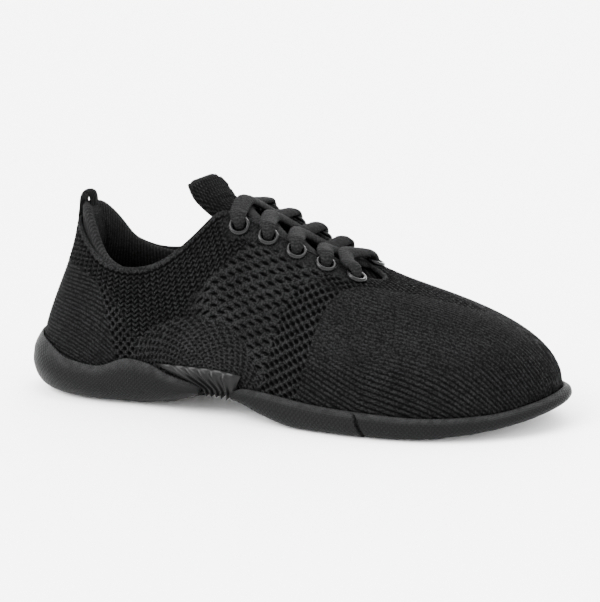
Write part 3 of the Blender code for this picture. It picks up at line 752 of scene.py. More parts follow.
Relief = tuple[Socket, Socket]


class DetailGroups:
    """Node groups of the fine surfaces, each made once and shared by the finishes that use it.

    A surface's maker has its name. It takes the place on the cloth, whole and as lengths across and
    along it, all counted in pitches, and gives the sockets of its height and its shade. The shade is
    painted into the colour: painted shade in the low parts of yarn, braid, band, knurl and enamel, and
    random tone on moulded rubber.
    """

    def __init__(self) -> None:
        """Starts with none made."""
        self.made: dict[Detail, bpy.types.NodeTree] = {}

    def get(self, detail: Detail) -> bpy.types.NodeTree:
        """The group of a fine surface.

        Args:
            detail: Which surface.

        Returns:
            Its group, with Height and Shade outputs from 0 to 1.
        """
        if detail not in self.made:
            inputs = {"Place": ("NodeSocketVector", None), "Pitch": (NUMBER, 1.0)}
            outputs = {"Height": NUMBER, "Shade": NUMBER}
            tree, kit, source, target = node_group(detail.value, "ShaderNodeTree", inputs, outputs)
            pitch = kit.add("ShaderNodeCombineXYZ", {axis: source.outputs["Pitch"] for axis in "XYZ"})
            feeds = {0: source.outputs["Place"], 1: pitch.outputs[0]}
            place = kit.add("ShaderNodeVectorMath", feeds, operation="DIVIDE").outputs[0]
            across, along, _ = kit.add("ShaderNodeSeparateXYZ", {0: place}).outputs
            maker = getattr(self, detail.name.lower())
            height, shade = maker(kit, place, across, along)
            kit.feed(target, {"Height": height, "Shade": shade})
            self.made[detail] = tree
        return self.made[detail]

    @staticmethod
    def yarn(kit: Nodes, place: Socket, across: Socket, along: Socket) -> Relief:
        """Rows of slanted loops, with loose fibres."""
        slant = kit.math("PINGPONG", across, 0.5)
        loops = kit.wave(kit.math("ADD", along, kit.math("MULTIPLY", slant, 0.9)), 0.8)
        columns = kit.wave(across, 1.0)
        fibres = kit.noise(place, 2.6, 3.0, 0.65)
        loops = kit.math("MULTIPLY", loops, kit.ramp(columns, 0.0, 0.7, 0.35))
        height = kit.math("ADD", loops, kit.math("MULTIPLY", fibres, 0.5))
        return height, kit.ramp(height, 0.25, 1.1)

    @staticmethod
    def braid(kit: Nodes, place: Socket, across: Socket, along: Socket) -> Relief:
        """Soft cross ribs with a felted nap."""
        lean = kit.math("PINGPONG", across, 2.0)
        ribs = kit.wave(kit.math("ADD", along, kit.math("MULTIPLY", lean, 0.22)), 1.0)
        nap = kit.noise(place, 3.1, 4.0, 0.7)
        height = kit.math("ADD", kit.math("MULTIPLY", ribs, 0.55), nap)
        return height, kit.ramp(height, 0.35, 1.15)

    @staticmethod
    def band(kit: Nodes, place: Socket, across: Socket, along: Socket) -> Relief:
        """Woven cords along a band, crossed by fine picks."""
        cords = kit.wave(across, 1.0)
        picks = kit.wave(kit.math("ADD", along, kit.math("PINGPONG", across, 1.0)), 0.55)
        height = kit.math("ADD", kit.math("MULTIPLY", cords, 0.6), kit.math("MULTIPLY", picks, 0.4))
        return height, kit.ramp(height, 0.1, 0.9)

    @staticmethod
    def knurl(kit: Nodes, place: Socket, across: Socket, along: Socket) -> Relief:
        """Small raised lozenges between two sets of crossed lines."""
        one = kit.wave(kit.math("ADD", across, along), 1.0)
        two = kit.wave(kit.math("SUBTRACT", across, along), 1.0)
        height = kit.math("MULTIPLY", one, two)
        return kit.ramp(height, 0.0, 0.55), kit.ramp(height, 0.0, 0.5)

    @staticmethod
    def moulded(kit: Nodes, place: Socket, across: Socket, along: Socket) -> Relief:
        """Almost smooth rubber with a faint orange peel."""
        peel = kit.noise(place, 1.0, 3.0, 0.5)
        return peel, kit.ramp(kit.noise(place, 0.12, 4.0, 0.6), 0.25, 0.75)

    @staticmethod
    def metal(kit: Nodes, place: Socket, across: Socket, along: Socket) -> Relief:
        """Smooth enamel with slight pitting."""
        pits = kit.noise(place, 2.0, 2.0, 0.5)
        return kit.ramp(pits, 0.3, 0.45), kit.ramp(pits, 0.2, 0.7)


GROUPS = DetailGroups()


@dataclass(frozen=True)
class Finish:
    """A material: its colours, gloss and fine surface.

    The colour runs from hollow, a painted shade deep in the surface, to colour, on its high parts, and,
    if there is one, to a lighter painted highlight along the sole's lip, where its rounded edge catches
    light. Pitch and depth are the fine surface's, in millimetres; mottle says how uneven its tone is, and
    fleck sets random flecks as small as a yarn, painted glints of the yarn; relief says that the piece's
    mesh marks its own hollows with painted shade.
    """

    name: str
    colour: tuple[float, float, float]
    # Colour of the painted shade in the surface's hollows
    hollow: tuple[float, float, float]
    roughness: float
    detail: Detail
    pitch: float = 0.8
    depth: float = 0.1
    coat: float = 0.0
    coat_roughness: float = 0.18
    mottle: float = 0.25
    specular: float = 0.25
    relief: bool = False
    # Lighter colour of a painted highlight along a lip, where its rounded edge catches light
    highlight_colour: tuple[float, float, float] | None = None
    # Strength of the random flecks that are painted glints of the yarn
    fleck: float = 0.0

    def material(self) -> bpy.types.Material:
        """The finish as a node material; pieces give it a UV map in millimetres of cloth.

        Returns:
            The material, made once.
        """
        made = bpy.data.materials.get(self.name)
        if made:
            return made
        made = bpy.data.materials.new(self.name)
        made.use_nodes = True
        kit = Nodes(made.node_tree)
        shader = made.node_tree.nodes["Principled BSDF"]
        cloth = kit.add("ShaderNodeUVMap", uv_map="cloth").outputs["UV"]
        place = kit.add("ShaderNodeTexCoord").outputs["Object"]
        feeds = {"Place": cloth, "Pitch": self.pitch}
        fine = kit.add("ShaderNodeGroup", feeds, node_tree=GROUPS.get(self.detail)).outputs
        feeds = {"Place": place, "Mottle": self.mottle, "Fleck": self.fleck}
        tone = kit.add("ShaderNodeGroup", feeds, node_tree=uneven_tone()).outputs["Tone"]
        # Painted shade: the fine surface's low parts darken the colour, times the tone patches and the
        # painted glint flecks
        shade = kit.math("MULTIPLY", kit.ramp(fine["Shade"], 0.0, 1.0, 0.45), tone)
        # The mesh's own painted shade in its holes, grooves and seams
        if self.relief:
            hollow = kit.add("ShaderNodeAttribute", attribute_name="hollow").outputs["Fac"]
            shade = kit.math("MULTIPLY", shade, kit.math("SUBTRACT", 1.0, hollow))
        colour = kit.mix(shade, (*self.hollow, 1.0), (*self.colour, 1.0))
        # Painted highlight: a lighter colour in patches along the lip's rounded edge
        if self.highlight_colour:
            worn = kit.add("ShaderNodeAttribute", attribute_name="worn").outputs["Fac"]
            worn = kit.math("MULTIPLY", worn, kit.ramp(kit.noise(place, 320.0, 4.0), 0.3, 0.7, 0.35))
            colour = kit.mix(worn, colour, (*self.highlight_colour, 1.0))
        bump = kit.add("ShaderNodeBump", {"Distance": self.depth * MM, "Height": fine["Height"]})
        feeds = {
            "Base Color": colour,
            "Roughness": kit.ramp(shade, 0.0, 1.0, min(1.0, self.roughness + 0.12), self.roughness),
            "Normal": bump.outputs["Normal"],
            "Specular IOR Level": self.specular,
            "Coat Weight": self.coat,
            "Coat Roughness": self.coat_roughness,
        }
        kit.feed(shader, feeds)
        made.diffuse_color = (*self.colour, 1.0)
        return made


KNIT = Finish(
    "black_knit", (0.0152, 0.0152, 0.0157), (0.0001, 0.0001, 0.0001), 0.70, Detail.YARN,
    pitch=0.75, depth=0.14, specular=0.018, relief=True, fleck=0.75,
)
LINING = Finish(
    "brushed_lining", (0.0056, 0.0056, 0.0058), (0.0014, 0.0014, 0.0014), 0.90, Detail.YARN,
    pitch=0.6, depth=0.08, specular=0.015,
)
COLLAR = Finish(
    "collar_ribbing", (0.0205, 0.0205, 0.0210), (0.0018, 0.0018, 0.0018), 0.75, Detail.YARN,
    pitch=0.55, depth=0.10, specular=0.025, relief=True, fleck=0.55,
)
SPACER = Finish(
    "spacer_mesh", (0.0122, 0.0122, 0.0126), (0.0001, 0.0001, 0.0001), 0.70, Detail.YARN,
    pitch=0.5, depth=0.08, specular=0.025, relief=True, fleck=0.75,
)
CORD = Finish(
    "lace_braid", (0.0104, 0.0104, 0.0107), (0.0010, 0.0010, 0.0010), 0.75, Detail.BRAID,
    pitch=1.1, depth=0.16, specular=0.025, fleck=0.6,
)
WEBBING = Finish(
    "pull_webbing", (0.0016, 0.0016, 0.0017), (0.0002, 0.0002, 0.0002), 0.60, Detail.BAND,
    pitch=1.3, depth=0.16, specular=0.025, relief=True,
)
# The foam is lighter along its lip by a painted highlight, where the rounded edge catches light
FOAM = Finish(
    "sole_foam", (0.0040, 0.0040, 0.0042), (0.0016, 0.0016, 0.0016), 0.50, Detail.KNURL,
    pitch=1.9, depth=0.26, specular=0.042, highlight_colour=(0.0115, 0.0115, 0.0118),
)
TREAD = Finish(
    "tread_rubber", (0.0052, 0.0052, 0.0052), (0.0026, 0.0026, 0.0026), 0.36, Detail.MOULDED,
    pitch=1.0, depth=0.04, coat=0.02, specular=0.10,
)
SLEEVE = Finish(
    "sleeve_rubber", (0.0028, 0.0028, 0.0028), (0.0014, 0.0014, 0.0014), 0.34, Detail.MOULDED,
    pitch=1.0, depth=0.03, coat=0.02, specular=0.09,
)
ENAMEL = Finish(
    "eyelet_enamel", (0.0036, 0.0036, 0.0038), (0.0020, 0.0020, 0.0021), 0.20, Detail.METAL,
    pitch=0.8, depth=0.01, coat=0.05, specular=0.09,
)


# Knit patterns: each gives a relief in millimetres and the painted shade of its hollows, from 0 to 1


STITCH_WIDTH = 3.4
STITCH_RISE = 2.1
Pair = tuple[float, float]
Knit = tuple[Array, Array]


def lattice_holes(a: Array, b: Array, pitch: Pair, half: Pair) -> Array:
    """Staggered oval holes.

    Args:
        a: Place across, in millimetres.
        b: Place along, in millimetres.
        pitch: Spacing across and along between holes of one set; a second set lies half way.
        half: Half the hole's size across and along.

    Returns:
        1 inside a hole, 0 between holes.
    """
    nearest = np.full(np.shape(a), 9.0)
    for shift in (0.0, 0.5):
        fa = a / pitch[0] - shift
        fb = b / pitch[1] - shift
        fa = (fa - np.round(fa)) * pitch[0] / half[0]
        fb = (fb - np.round(fb)) * pitch[1] / half[1]
        nearest = np.minimum(nearest, fa**2 + fb**2)
    return smooth_step(nearest, 1.7, 0.5)


def chain_stitch(a: Array, b: Array) -> Knit:
    """Zigzag rows of V stitches, with a ladder of painted shade where their columns meet.

    Args:
        a: Place across, in millimetres.
        b: Place along, in millimetres.

    Returns:
        Relief and painted shade.
    """
    f = a / STITCH_WIDTH - np.round(a / STITCH_WIDTH)
    vee = ripple(b + STITCH_WIDTH * np.abs(f), STITCH_RISE)
    body = 0.40 + 0.60 * hump(f, 0.0, 0.5)
    # The gaps between columns, the middle groove and the troughs between the Vs get painted shade
    gap = smooth_step(np.abs(f), 0.28, 0.46) * (0.28 + 0.62 * ripple(b, STITCH_RISE))
    groove = smooth_step(np.abs(f), 0.10, 0.0) * 0.20
    relief = 0.85 * body * (0.15 + 0.85 * vee) - 0.5 - 0.30 * gap
    return relief, np.clip(gap + groove + smooth_step(vee, 0.62, 0.16), 0.0, 1.0)


def rib_rows(
    phase: Array, along: Array, pitch: Pair, deep: Array | float, dark: Array | float = 0.85
) -> Knit:
    """Fine ribs, each a row of nubs, with painted shade in the lines between them.

    Args:
        phase: Place across the ribs, in millimetres.
        along: Place along them.
        pitch: Spacing of the ribs, and of the nubs along them.
        deep: Height of a rib.
        dark: How dark the painted shade in the lines is.

    Returns:
        Relief and painted shade.
    """
    rib, nubs = ripple(phase, pitch[0]), ripple(along, pitch[1])
    relief = deep * (rib * (0.75 + 0.25 * nubs) - 0.6)
    return relief, np.clip(smooth_step(rib, 0.55, 0.05) * dark + 0.25 * (1 - nubs) * rib, 0.0, 1.0)


def holed_knit(holes: Array, deep: float) -> Knit:
    """Knit drawn down into its holes, which are darkened with painted shade."""
    return -deep * holes, holes


class Zone(Enum):
    """Areas of the upper that are knitted differently."""

    COUNTER = "ribs round the heel"
    CHAIN = "chain stitch of the quarter"
    HONEYCOMB = "loops beside the heel"
    ARCH = "close twill over the arch"
    SLITS = "slit rows of the midfoot"
    MESH = "holed band and vamp"
    TOE = "ribs round the toe"
    EYESTAY = "close twill beside the throat"


Crease = namedtuple("Crease", "x z end_x end_z half depth")


@dataclass
class KnitUpper:
    """The knitted wall: a fine outer skin in two fields, and a plain lining inside it."""

    columns: int = 1100
    rows: int = 164
    lining_columns: int = 330
    lining_rows: int = 44
    split_x: float = 116.0
    edge_radius: float = 0.95
    eyelet_hole: float = 3.9
    # Edge of the heel ribs: how far forward they reach at each height
    counter_edge: tuple = table(
        (10, 55), (25, 52), (40, 48.5), (50, 45),
        (55.7, 41), (59, 34), (61, 27), (62, 20),
    )
    # Width of the loose loops in front of the heel ribs, at each height
    loop_width: tuple = table(
        (10, 16), (26, 14), (38, 9), (50, 5), (58, 0), (62, -8),
    )
    # Top of the close twill over the arch, and the point that its rows turn round
    arch_edge: tuple = table(
        (58, 12), (64, 31), (76, 40), (90, 44),
        (104, 43), (116, 34), (126, 16),
    )
    arch_middle: Point = Point(96.0, 8.0)
    # How far from the vamp's middle line the toe ribs begin, and the slit rows end
    rib_edge: tuple = table(
        (138, 95), (146, 58), (149, 45), (153, 34), (158, 26), (165, 19.5),
        (177, 13.5), (191, 10), (208, 6.5), (219, -1), (226, -6),
    )
    slit_edge: tuple = table(
        (122, 95), (130, 60), (134, 46), (139, 35), (146, 26),
        (153, 18), (158, 11), (163, 3), (168, -6),
    )
    # Soft troughs and ridges where the shoe folds: line, half width and depth
    creases: tuple = (
        Crease(84, 30, 92, 62, 6.0, -0.9),
        Crease(96, 28, 100, 66, 6.5, 0.6),
        Crease(108, 26, 108, 62, 6.0, -0.8),
        Crease(121, 27, 118, 60, 6.0, 0.5),
        Crease(150, 24, 166, 52, 5.0, -0.5),
        Crease(166, 22, 180, 48, 5.5, -0.7),
        Crease(178, 22, 190, 43, 5.0, 0.45),
        Crease(34, 62, 44, 30, 7.0, 0.35),
        Crease(62, 56, 70, 32, 7.0, -0.45),
    )
    field_names: tuple = ("upper_knit_rear", "upper_knit_front")

    def build(self, eyelets: "Eyelets") -> None:
        """Knits the skin, cuts it round the eyelets and lines it.

        Args:
            eyelets: The eyelets that go through it.
        """
        self.lay_out()
        relief, hollow = self.pattern()
        skin = self.base + self.out * relief[..., None]
        skin, hollow, uv = self.add_edge(skin, hollow)
        normals = self.skin_normals(skin)
        centres = eyelets.centres()
        for name, columns in zip(self.field_names, self.fields()):
            cut = (grid[:, columns] for grid in (skin, hollow, uv, normals))
            self.add_field(name, *cut, centres)
        self.add_lining(centres)

    def lay_out(self) -> None:
        """Works out the skin's points and its cloth coordinates."""
        self.u = np.arange(self.columns) / self.columns
        self.t = np.linspace(0.0, 1.0, self.rows)
        grid_u, grid_t = np.meshgrid(self.u, self.t)
        self.base = FORM.rib_point(grid_u, grid_t)
        self.out = FORM.normal(grid_u, grid_t)
        steps = np.linalg.norm(np.diff(self.base, axis=0), axis=2)
        self.up = np.concatenate([np.zeros((1, self.columns)), np.cumsum(steps, axis=0)])
        self.below = self.up[-1:] - self.up
        self.around = np.broadcast_to(np.minimum(self.u, 1.0 - self.u) * FORM.girth, self.up.shape)
        level = self.base[int(0.7 * self.rows)]
        run = np.linalg.norm(np.roll(level, -1, axis=0) - level, axis=1)
        along = np.concatenate([[0.0], np.cumsum(run)[:-1]])
        self.course = np.broadcast_to(np.minimum(along, run.sum() - along), self.up.shape)
        self.girth = self.girth_map()

    def girth_map(self) -> Array:
        """Distance of each point from the vamp's middle line, measured round the foot at one x.

        Returns:
            A distance for each point.
        """
        stations = np.arange(80.0, 250.0, 1.5)
        x, y, z = (self.base[..., k] for k in range(3))
        girth = np.zeros(x.shape)
        toe_column = int(round(FORM.toe * self.columns))
        sides = (np.arange(toe_column, -1, -1), np.arange(toe_column, self.columns))
        for side in sides:
            found = np.full((len(stations), len(side)), np.nan)
            sy, sz = found.copy(), found.copy()
            for k, c in enumerate(side):
                column = x[::-1, c]
                if column[-1] < column[0]:
                    continue
                inside = (stations >= column[0]) & (stations <= column[-1])
                sy[inside, k] = np.interp(stations[inside], column, y[::-1, c])
                sz[inside, k] = np.interp(stations[inside], column, z[::-1, c])
            for i in range(len(stations)):
                known = np.flatnonzero(~np.isnan(sy[i]))
                if len(known) < 2:
                    continue
                run = np.hypot(np.diff(sy[i, known]), np.diff(sz[i, known]))
                start = abs(sy[i, known[0]])
                found[i, known] = start + np.concatenate([[0.0], np.cumsum(run)])
            for k, c in enumerate(side):
                known = ~np.isnan(found[:, k])
                if known.any():
                    girth[:, c] = np.interp(x[:, c], stations[known], found[known, k])
        return girth

    def weights(self) -> dict[Zone, Array]:
        """Share of each knitted area at each point; the shares add up to 1.

        Returns:
            The shares, by area.
        """
        x, z = self.base[..., 0], self.base[..., 2]
        edge_x = self.base[-1:, :, 0]
        counter = smooth_profile(z, self.counter_edge)
        stay = smooth_step(edge_x, 96.0, 102.0) * smooth_step(x, 162.0, 156.0)
        arch = smooth_step(x, 56.0, 62.0) * smooth_step(x, 130.0, 124.0)
        over_ribs = self.girth - smooth_profile(x, self.rib_edge)
        over_slits = self.girth - smooth_profile(x, self.slit_edge)
        order = {
            Zone.EYESTAY: smooth_step(self.below, 14.5, 13.5) * stay,
            Zone.TOE: smooth_step(over_ribs, -0.6, 0.6) * smooth_step(x, 136.0, 142.0),
            Zone.MESH: smooth_step(over_slits, -0.8, 0.8) * smooth_step(x, 118.0, 124.0),
            Zone.ARCH: smooth_step(smooth_profile(x, self.arch_edge) - z, -0.8, 0.8) * arch,
            Zone.COUNTER: smooth_step(counter - x, -0.7, 0.7) * smooth_step(z, 63.0, 61.0),
            Zone.SLITS: smooth_step(z - 0.95 * (x - 84.0) - 48.0, 1.5, -1.5) * smooth_step(x, 84.0, 96.0),
            Zone.HONEYCOMB: smooth_step(x - counter - smooth_profile(z, self.loop_width), 3.5, -3.5),
        }
        left = np.ones(x.shape)
        shares = {}
        for zone, weight in order.items():
            shares[zone] = weight * left
            left = left * (1 - weight)
        shares[Zone.CHAIN] = left
        return shares

    def pattern(self) -> Knit:
        """Relief and painted shade of the whole skin.

        Returns:
            A number of each kind for each point.
        """
        x, z = self.base[..., 0], self.base[..., 2]
        away_x, away_z = x - self.arch_middle.x, z - self.arch_middle.y
        arc, turn = np.hypot(away_x, away_z), np.arctan2(away_z, away_x) * 30.0
        drop = 11.0 * (np.maximum(x - self.base[:, :1, 0], 0.0) / 40.0) ** 2.2
        vamp = smooth_step(self.girth, 32.0, 24.0)
        round_holes = lattice_holes(self.girth, x, (4.3, 4.3), (1.05, 1.05))
        diamonds = lattice_holes(self.girth, x, (3.0, 3.7), (0.72, 1.15))
        mesh = round_holes * (1 - vamp) + diamonds * vamp
        near = np.clip((34.0 - self.up) / 16.0, 0.0, 1.0)
        spread = 16.0 * (near**3 - near**4 / 2) + np.maximum(18.0 - self.up, 0.0)
        ridge = int(round(FORM.toe * self.columns))
        spread = spread - np.interp(x, x[::-1, ridge], spread[::-1, ridge])
        patterns = {
            Zone.COUNTER: rib_rows(self.up + drop, self.around, (1.7, 1.5), 0.38),
            Zone.CHAIN: chain_stitch(self.course, self.below),
            Zone.HONEYCOMB: holed_knit(lattice_holes(self.course, self.below, (3.4, 4.2), (0.80, 0.95)), 0.6),
            Zone.ARCH: holed_knit(0.8 * lattice_holes(arc, turn + 0.5 * arc, (3.0, 4.0), (0.5, 1.05)), 0.45),
            Zone.SLITS: holed_knit(lattice_holes(self.girth + 0.10 * x, x, (5.0, 7.2), (0.68, 1.75)), 0.75),
            Zone.MESH: holed_knit(mesh, 0.7),
            Zone.TOE: rib_rows(
                self.girth - 0.27 * spread, x, (1.65, 1.65), 0.22 + 0.24 * near, 0.55 + 0.40 * near
            ),
            Zone.EYESTAY: holed_knit(
                0.35 * lattice_holes(self.below, self.around, (1.8, 1.8), (0.5, 0.5)), 0.2
            ),
        }
        relief, hollow = np.zeros(x.shape), np.zeros(x.shape)
        for zone, share in self.weights().items():
            height, dark = patterns[zone]
            relief += share * height
            hollow += share * dark
        calm = smooth_step(self.below, 0.6, 2.4)
        # A seam groove 2.6 mm below the top edge, with painted shade in it
        seam = hump(self.below, 2.6, 0.7)
        relief = relief * calm - 0.25 * seam
        hollow = np.clip(hollow * calm + 0.5 * seam, 0.0, 1.0)
        return relief + self.fold(), hollow

    def fold(self) -> Array:
        """Soft troughs and ridges of a worn-in shoe, placed one by one.

        Returns:
            A relief for each point.
        """
        x, z = self.base[..., 0], self.base[..., 2]
        total = np.zeros(x.shape)
        for c in self.creases:
            run = np.array((c.end_x - c.x, c.end_z - c.z), float)
            length = np.linalg.norm(run)
            run /= length
            along = (x - c.x) * run[0] + (z - c.z) * run[1]
            bend = 1.6 * np.sin(along / length * math.pi)
            aside = (x - c.x) * run[1] - (z - c.z) * run[0] - bend
            fade = smooth_step(along, -0.1 * length, 0.3 * length)
            fade = fade * smooth_step(along, 1.1 * length, 0.7 * length)
            total += c.depth * hump(aside, 0.0, c.half) * fade
        return total * smooth_step(self.up, 9.0, 18.0) * smooth_step(self.below, 3.0, 12.0)

    def add_edge(self, skin: Array, hollow: Array) -> tuple[Array, ...]:
        """Rolls the skin over the top edge and a little way down inside.

        Args:
            skin: The skin's grid of points.
            hollow: Its painted shade.

        Returns:
            The longer grid, its painted shade and its cloth coordinates.
        """
        r = self.edge_radius
        rise = unit(self.base[-1] - self.base[-2])
        rows = []
        for angle in np.radians((36.0, 72.0, 108.0, 144.0, 180.0)):
            inward = self.out[-1] * r * (math.cos(angle) - 1)
            rows.append(self.base[-1] + inward + rise * r * math.sin(angle))
        for share in (0.975, 0.94):
            rows.append(FORM.point(self.u, share, -2 * r))
        skin = np.concatenate([skin, np.array(rows)])
        # An even light painted shade over the rolled edge and its inside
        hollow = np.concatenate([hollow, np.full((len(rows), self.columns), 0.12)])
        up = np.concatenate([self.up, self.up[-1:] + np.arange(1, len(rows) + 1)[:, None] * 0.6])
        around = np.broadcast_to(self.u * FORM.girth, up.shape)
        return skin, hollow, np.stack([around, up], axis=-1)

    @staticmethod
    def skin_normals(skin: Array) -> Array:
        """Directions out of the whole skin, so that its two fields meet without a line."""
        around = np.roll(skin, -1, axis=1) - np.roll(skin, 1, axis=1)
        return unit(np.cross(around, np.gradient(skin, axis=0)))

    def fields(self) -> tuple[Array, Array]:
        """Column numbers of the rear and the front field; they share the two columns where they meet.

        Returns:
            The numbers of each.
        """
        outer = int(FORM.share_at(self.split_x, False, False) * self.columns)
        inner = int(FORM.share_at(self.split_x, True, False) * self.columns)
        rear = np.arange(inner - self.columns, outer + 1) % self.columns
        return rear, np.arange(outer, inner + 1)

    def add_field(
        self, name: str, skin: Array, hollow: Array, uv: Array, normals: Array, centres: Array
    ) -> None:
        """Makes one field of the skin, open where the eyelets go through.

        Args:
            name: Name of the piece.
            skin: Its grid of points.
            hollow: Its painted shade.
            uv: Its cloth coordinates.
            normals: Its directions outwards.
            centres: Middles of the eyelets.
        """
        points = skin.reshape(-1, 3)
        faces = self.clear_of(points, grid_faces(*skin.shape[:2]), centres)
        mesh = mesh_from(name, points, faces)
        uv = uv.copy()
        uv[..., 0] = np.unwrap(uv[..., 0], period=FORM.girth, axis=1)
        set_uv(mesh, uv)
        set_attribute(mesh, "hollow", hollow)
        mesh.normals_split_custom_set_from_vertices(normals.reshape(-1, 3).tolist())
        add_piece(mesh, KNIT.material(), "knit", "upper")

    def clear_of(self, points: Array, faces: Array, centres: Array) -> Array:
        """The faces that lie clear of every eyelet.

        Args:
            points: The mesh's points.
            faces: Corner numbers of its faces.
            centres: Middles of the eyelets.

        Returns:
            Corner numbers of the faces to keep.
        """
        middles = points[faces].mean(axis=1)
        keep = np.ones(len(faces), bool)
        for centre in centres:
            keep &= np.linalg.norm(middles - centre, axis=1) > self.eyelet_hole
        return faces[keep]

    def add_lining(self, centres: Array) -> None:
        """The plain inside of the wall.

        Args:
            centres: Middles of the eyelets.
        """
        u = np.arange(self.lining_columns) / self.lining_columns
        t = np.linspace(0.02, 0.965, self.lining_rows)
        grid_u, grid_t = np.meshgrid(u, t)
        points = FORM.point(grid_u, grid_t, 0.05 - KNIT_WALL)
        faces = grid_faces(len(t), len(u), round_columns=True)[:, ::-1]
        mesh = mesh_from("upper_lining", points, self.clear_of(points.reshape(-1, 3), faces, centres))
        set_uv(mesh, np.stack([grid_u * FORM.girth, grid_t * 80.0], axis=-1))
        add_piece(mesh, LINING.material(), "knit", "upper")


# Eyelets


@dataclass
class Eyelets:
    """Five enamelled rings a side, numbered from the toe end."""

    a_side: int = 5
    first_x: float = 154.0
    last_x: float = 104.5
    from_edge: float = 7.5
    flange: float = 4.7
    barrel: float = 3.5
    bore: float = 2.8
    rim: float = 1.1
    sides: int = 48

    def __post_init__(self) -> None:
        """Finds each eyelet's name and its place on the upper."""
        self.frames: list[tuple[str, float, float]] = []
        for inner_side in (False, True):
            side = "inner" if inner_side else "outer"
            for number, x in enumerate(np.linspace(self.first_x, self.last_x, self.a_side), start=1):
                u = float(FORM.share_at(x, inner_side, True))
                ts = np.linspace(0.6, 1.0, 200)
                down_rib = run_length(FORM.rib_point(np.full(len(ts), u), ts)[::-1])
                t = float(np.interp(self.from_edge, down_rib, ts[::-1]))
                self.frames.append((f"eyelet_{side}_{number}", u, t))

    def centre(self, k: int, lift: float = 0.0) -> Array:
        """Middle of an eyelet, lifted off the knit."""
        _, u, t = self.frames[k]
        return FORM.point([u], [t], [lift])[0]

    def centres(self) -> Array:
        """Middles of all the eyelets."""
        return np.array([self.centre(k) for k in range(len(self.frames))])

    def section(self) -> Array:
        """The ring's section: distance from its axis, and height off the knit.

        Returns:
            A pair for each corner.
        """
        rolled = np.radians(np.linspace(200.0, -20.0, 13))
        middle, half = (self.flange + self.bore) / 2, (self.flange - self.bore) / 2
        crown = [(middle + half * math.cos(a), 0.35 + self.rim * math.sin(a)) for a in rolled]
        under = [(self.flange - 0.1, 0.05), (self.barrel, 0.0), (self.barrel, -KNIT_WALL - 0.1)]
        washer = [(self.flange - 0.3, -0.15), (self.flange - 0.4, -0.6)]
        washer += [(self.bore + 0.2, -0.6), (self.bore, -0.2)]
        return np.array(crown + under + [(r, h - KNIT_WALL) for r, h in washer])

    def build(self) -> None:
        """Turns each ring and sets it in its hole."""
        section = self.section()
        angles = np.linspace(0.0, 2 * math.pi, self.sides, endpoint=False)[:, None]
        r, h = section[:, 0], np.broadcast_to(section[:, 1], (self.sides, len(section)))
        ring = np.stack([np.cos(angles) * r, np.sin(angles) * r, h], axis=-1)
        uv = np.stack([np.broadcast_to(angles * 4, h.shape), h], axis=-1)
        faces = grid_faces(self.sides, len(section), round_columns=True, round_rows=True)
        for k, (name, _, _) in enumerate(self.frames):
            low, high = self.centre(k), self.centre(k, 1.0)
            turn = np.array(Vector(high - low).to_track_quat("Z", "Y").to_matrix())
            mesh = mesh_from(f"{name}_ring", ring @ turn.T + low, faces)
            face_out(mesh)
            set_uv(mesh, uv)
            add_piece(mesh, ENAMEL.material(), "eyelet", name)


# Soles, tread, sleeve and insole


Groove = namedtuple("Groove", "x deep wall")


def level_ways(plan: Array) -> Array:
    """Directions in plan as level directions in space."""
    return np.column_stack([plan, np.zeros(len(plan))])


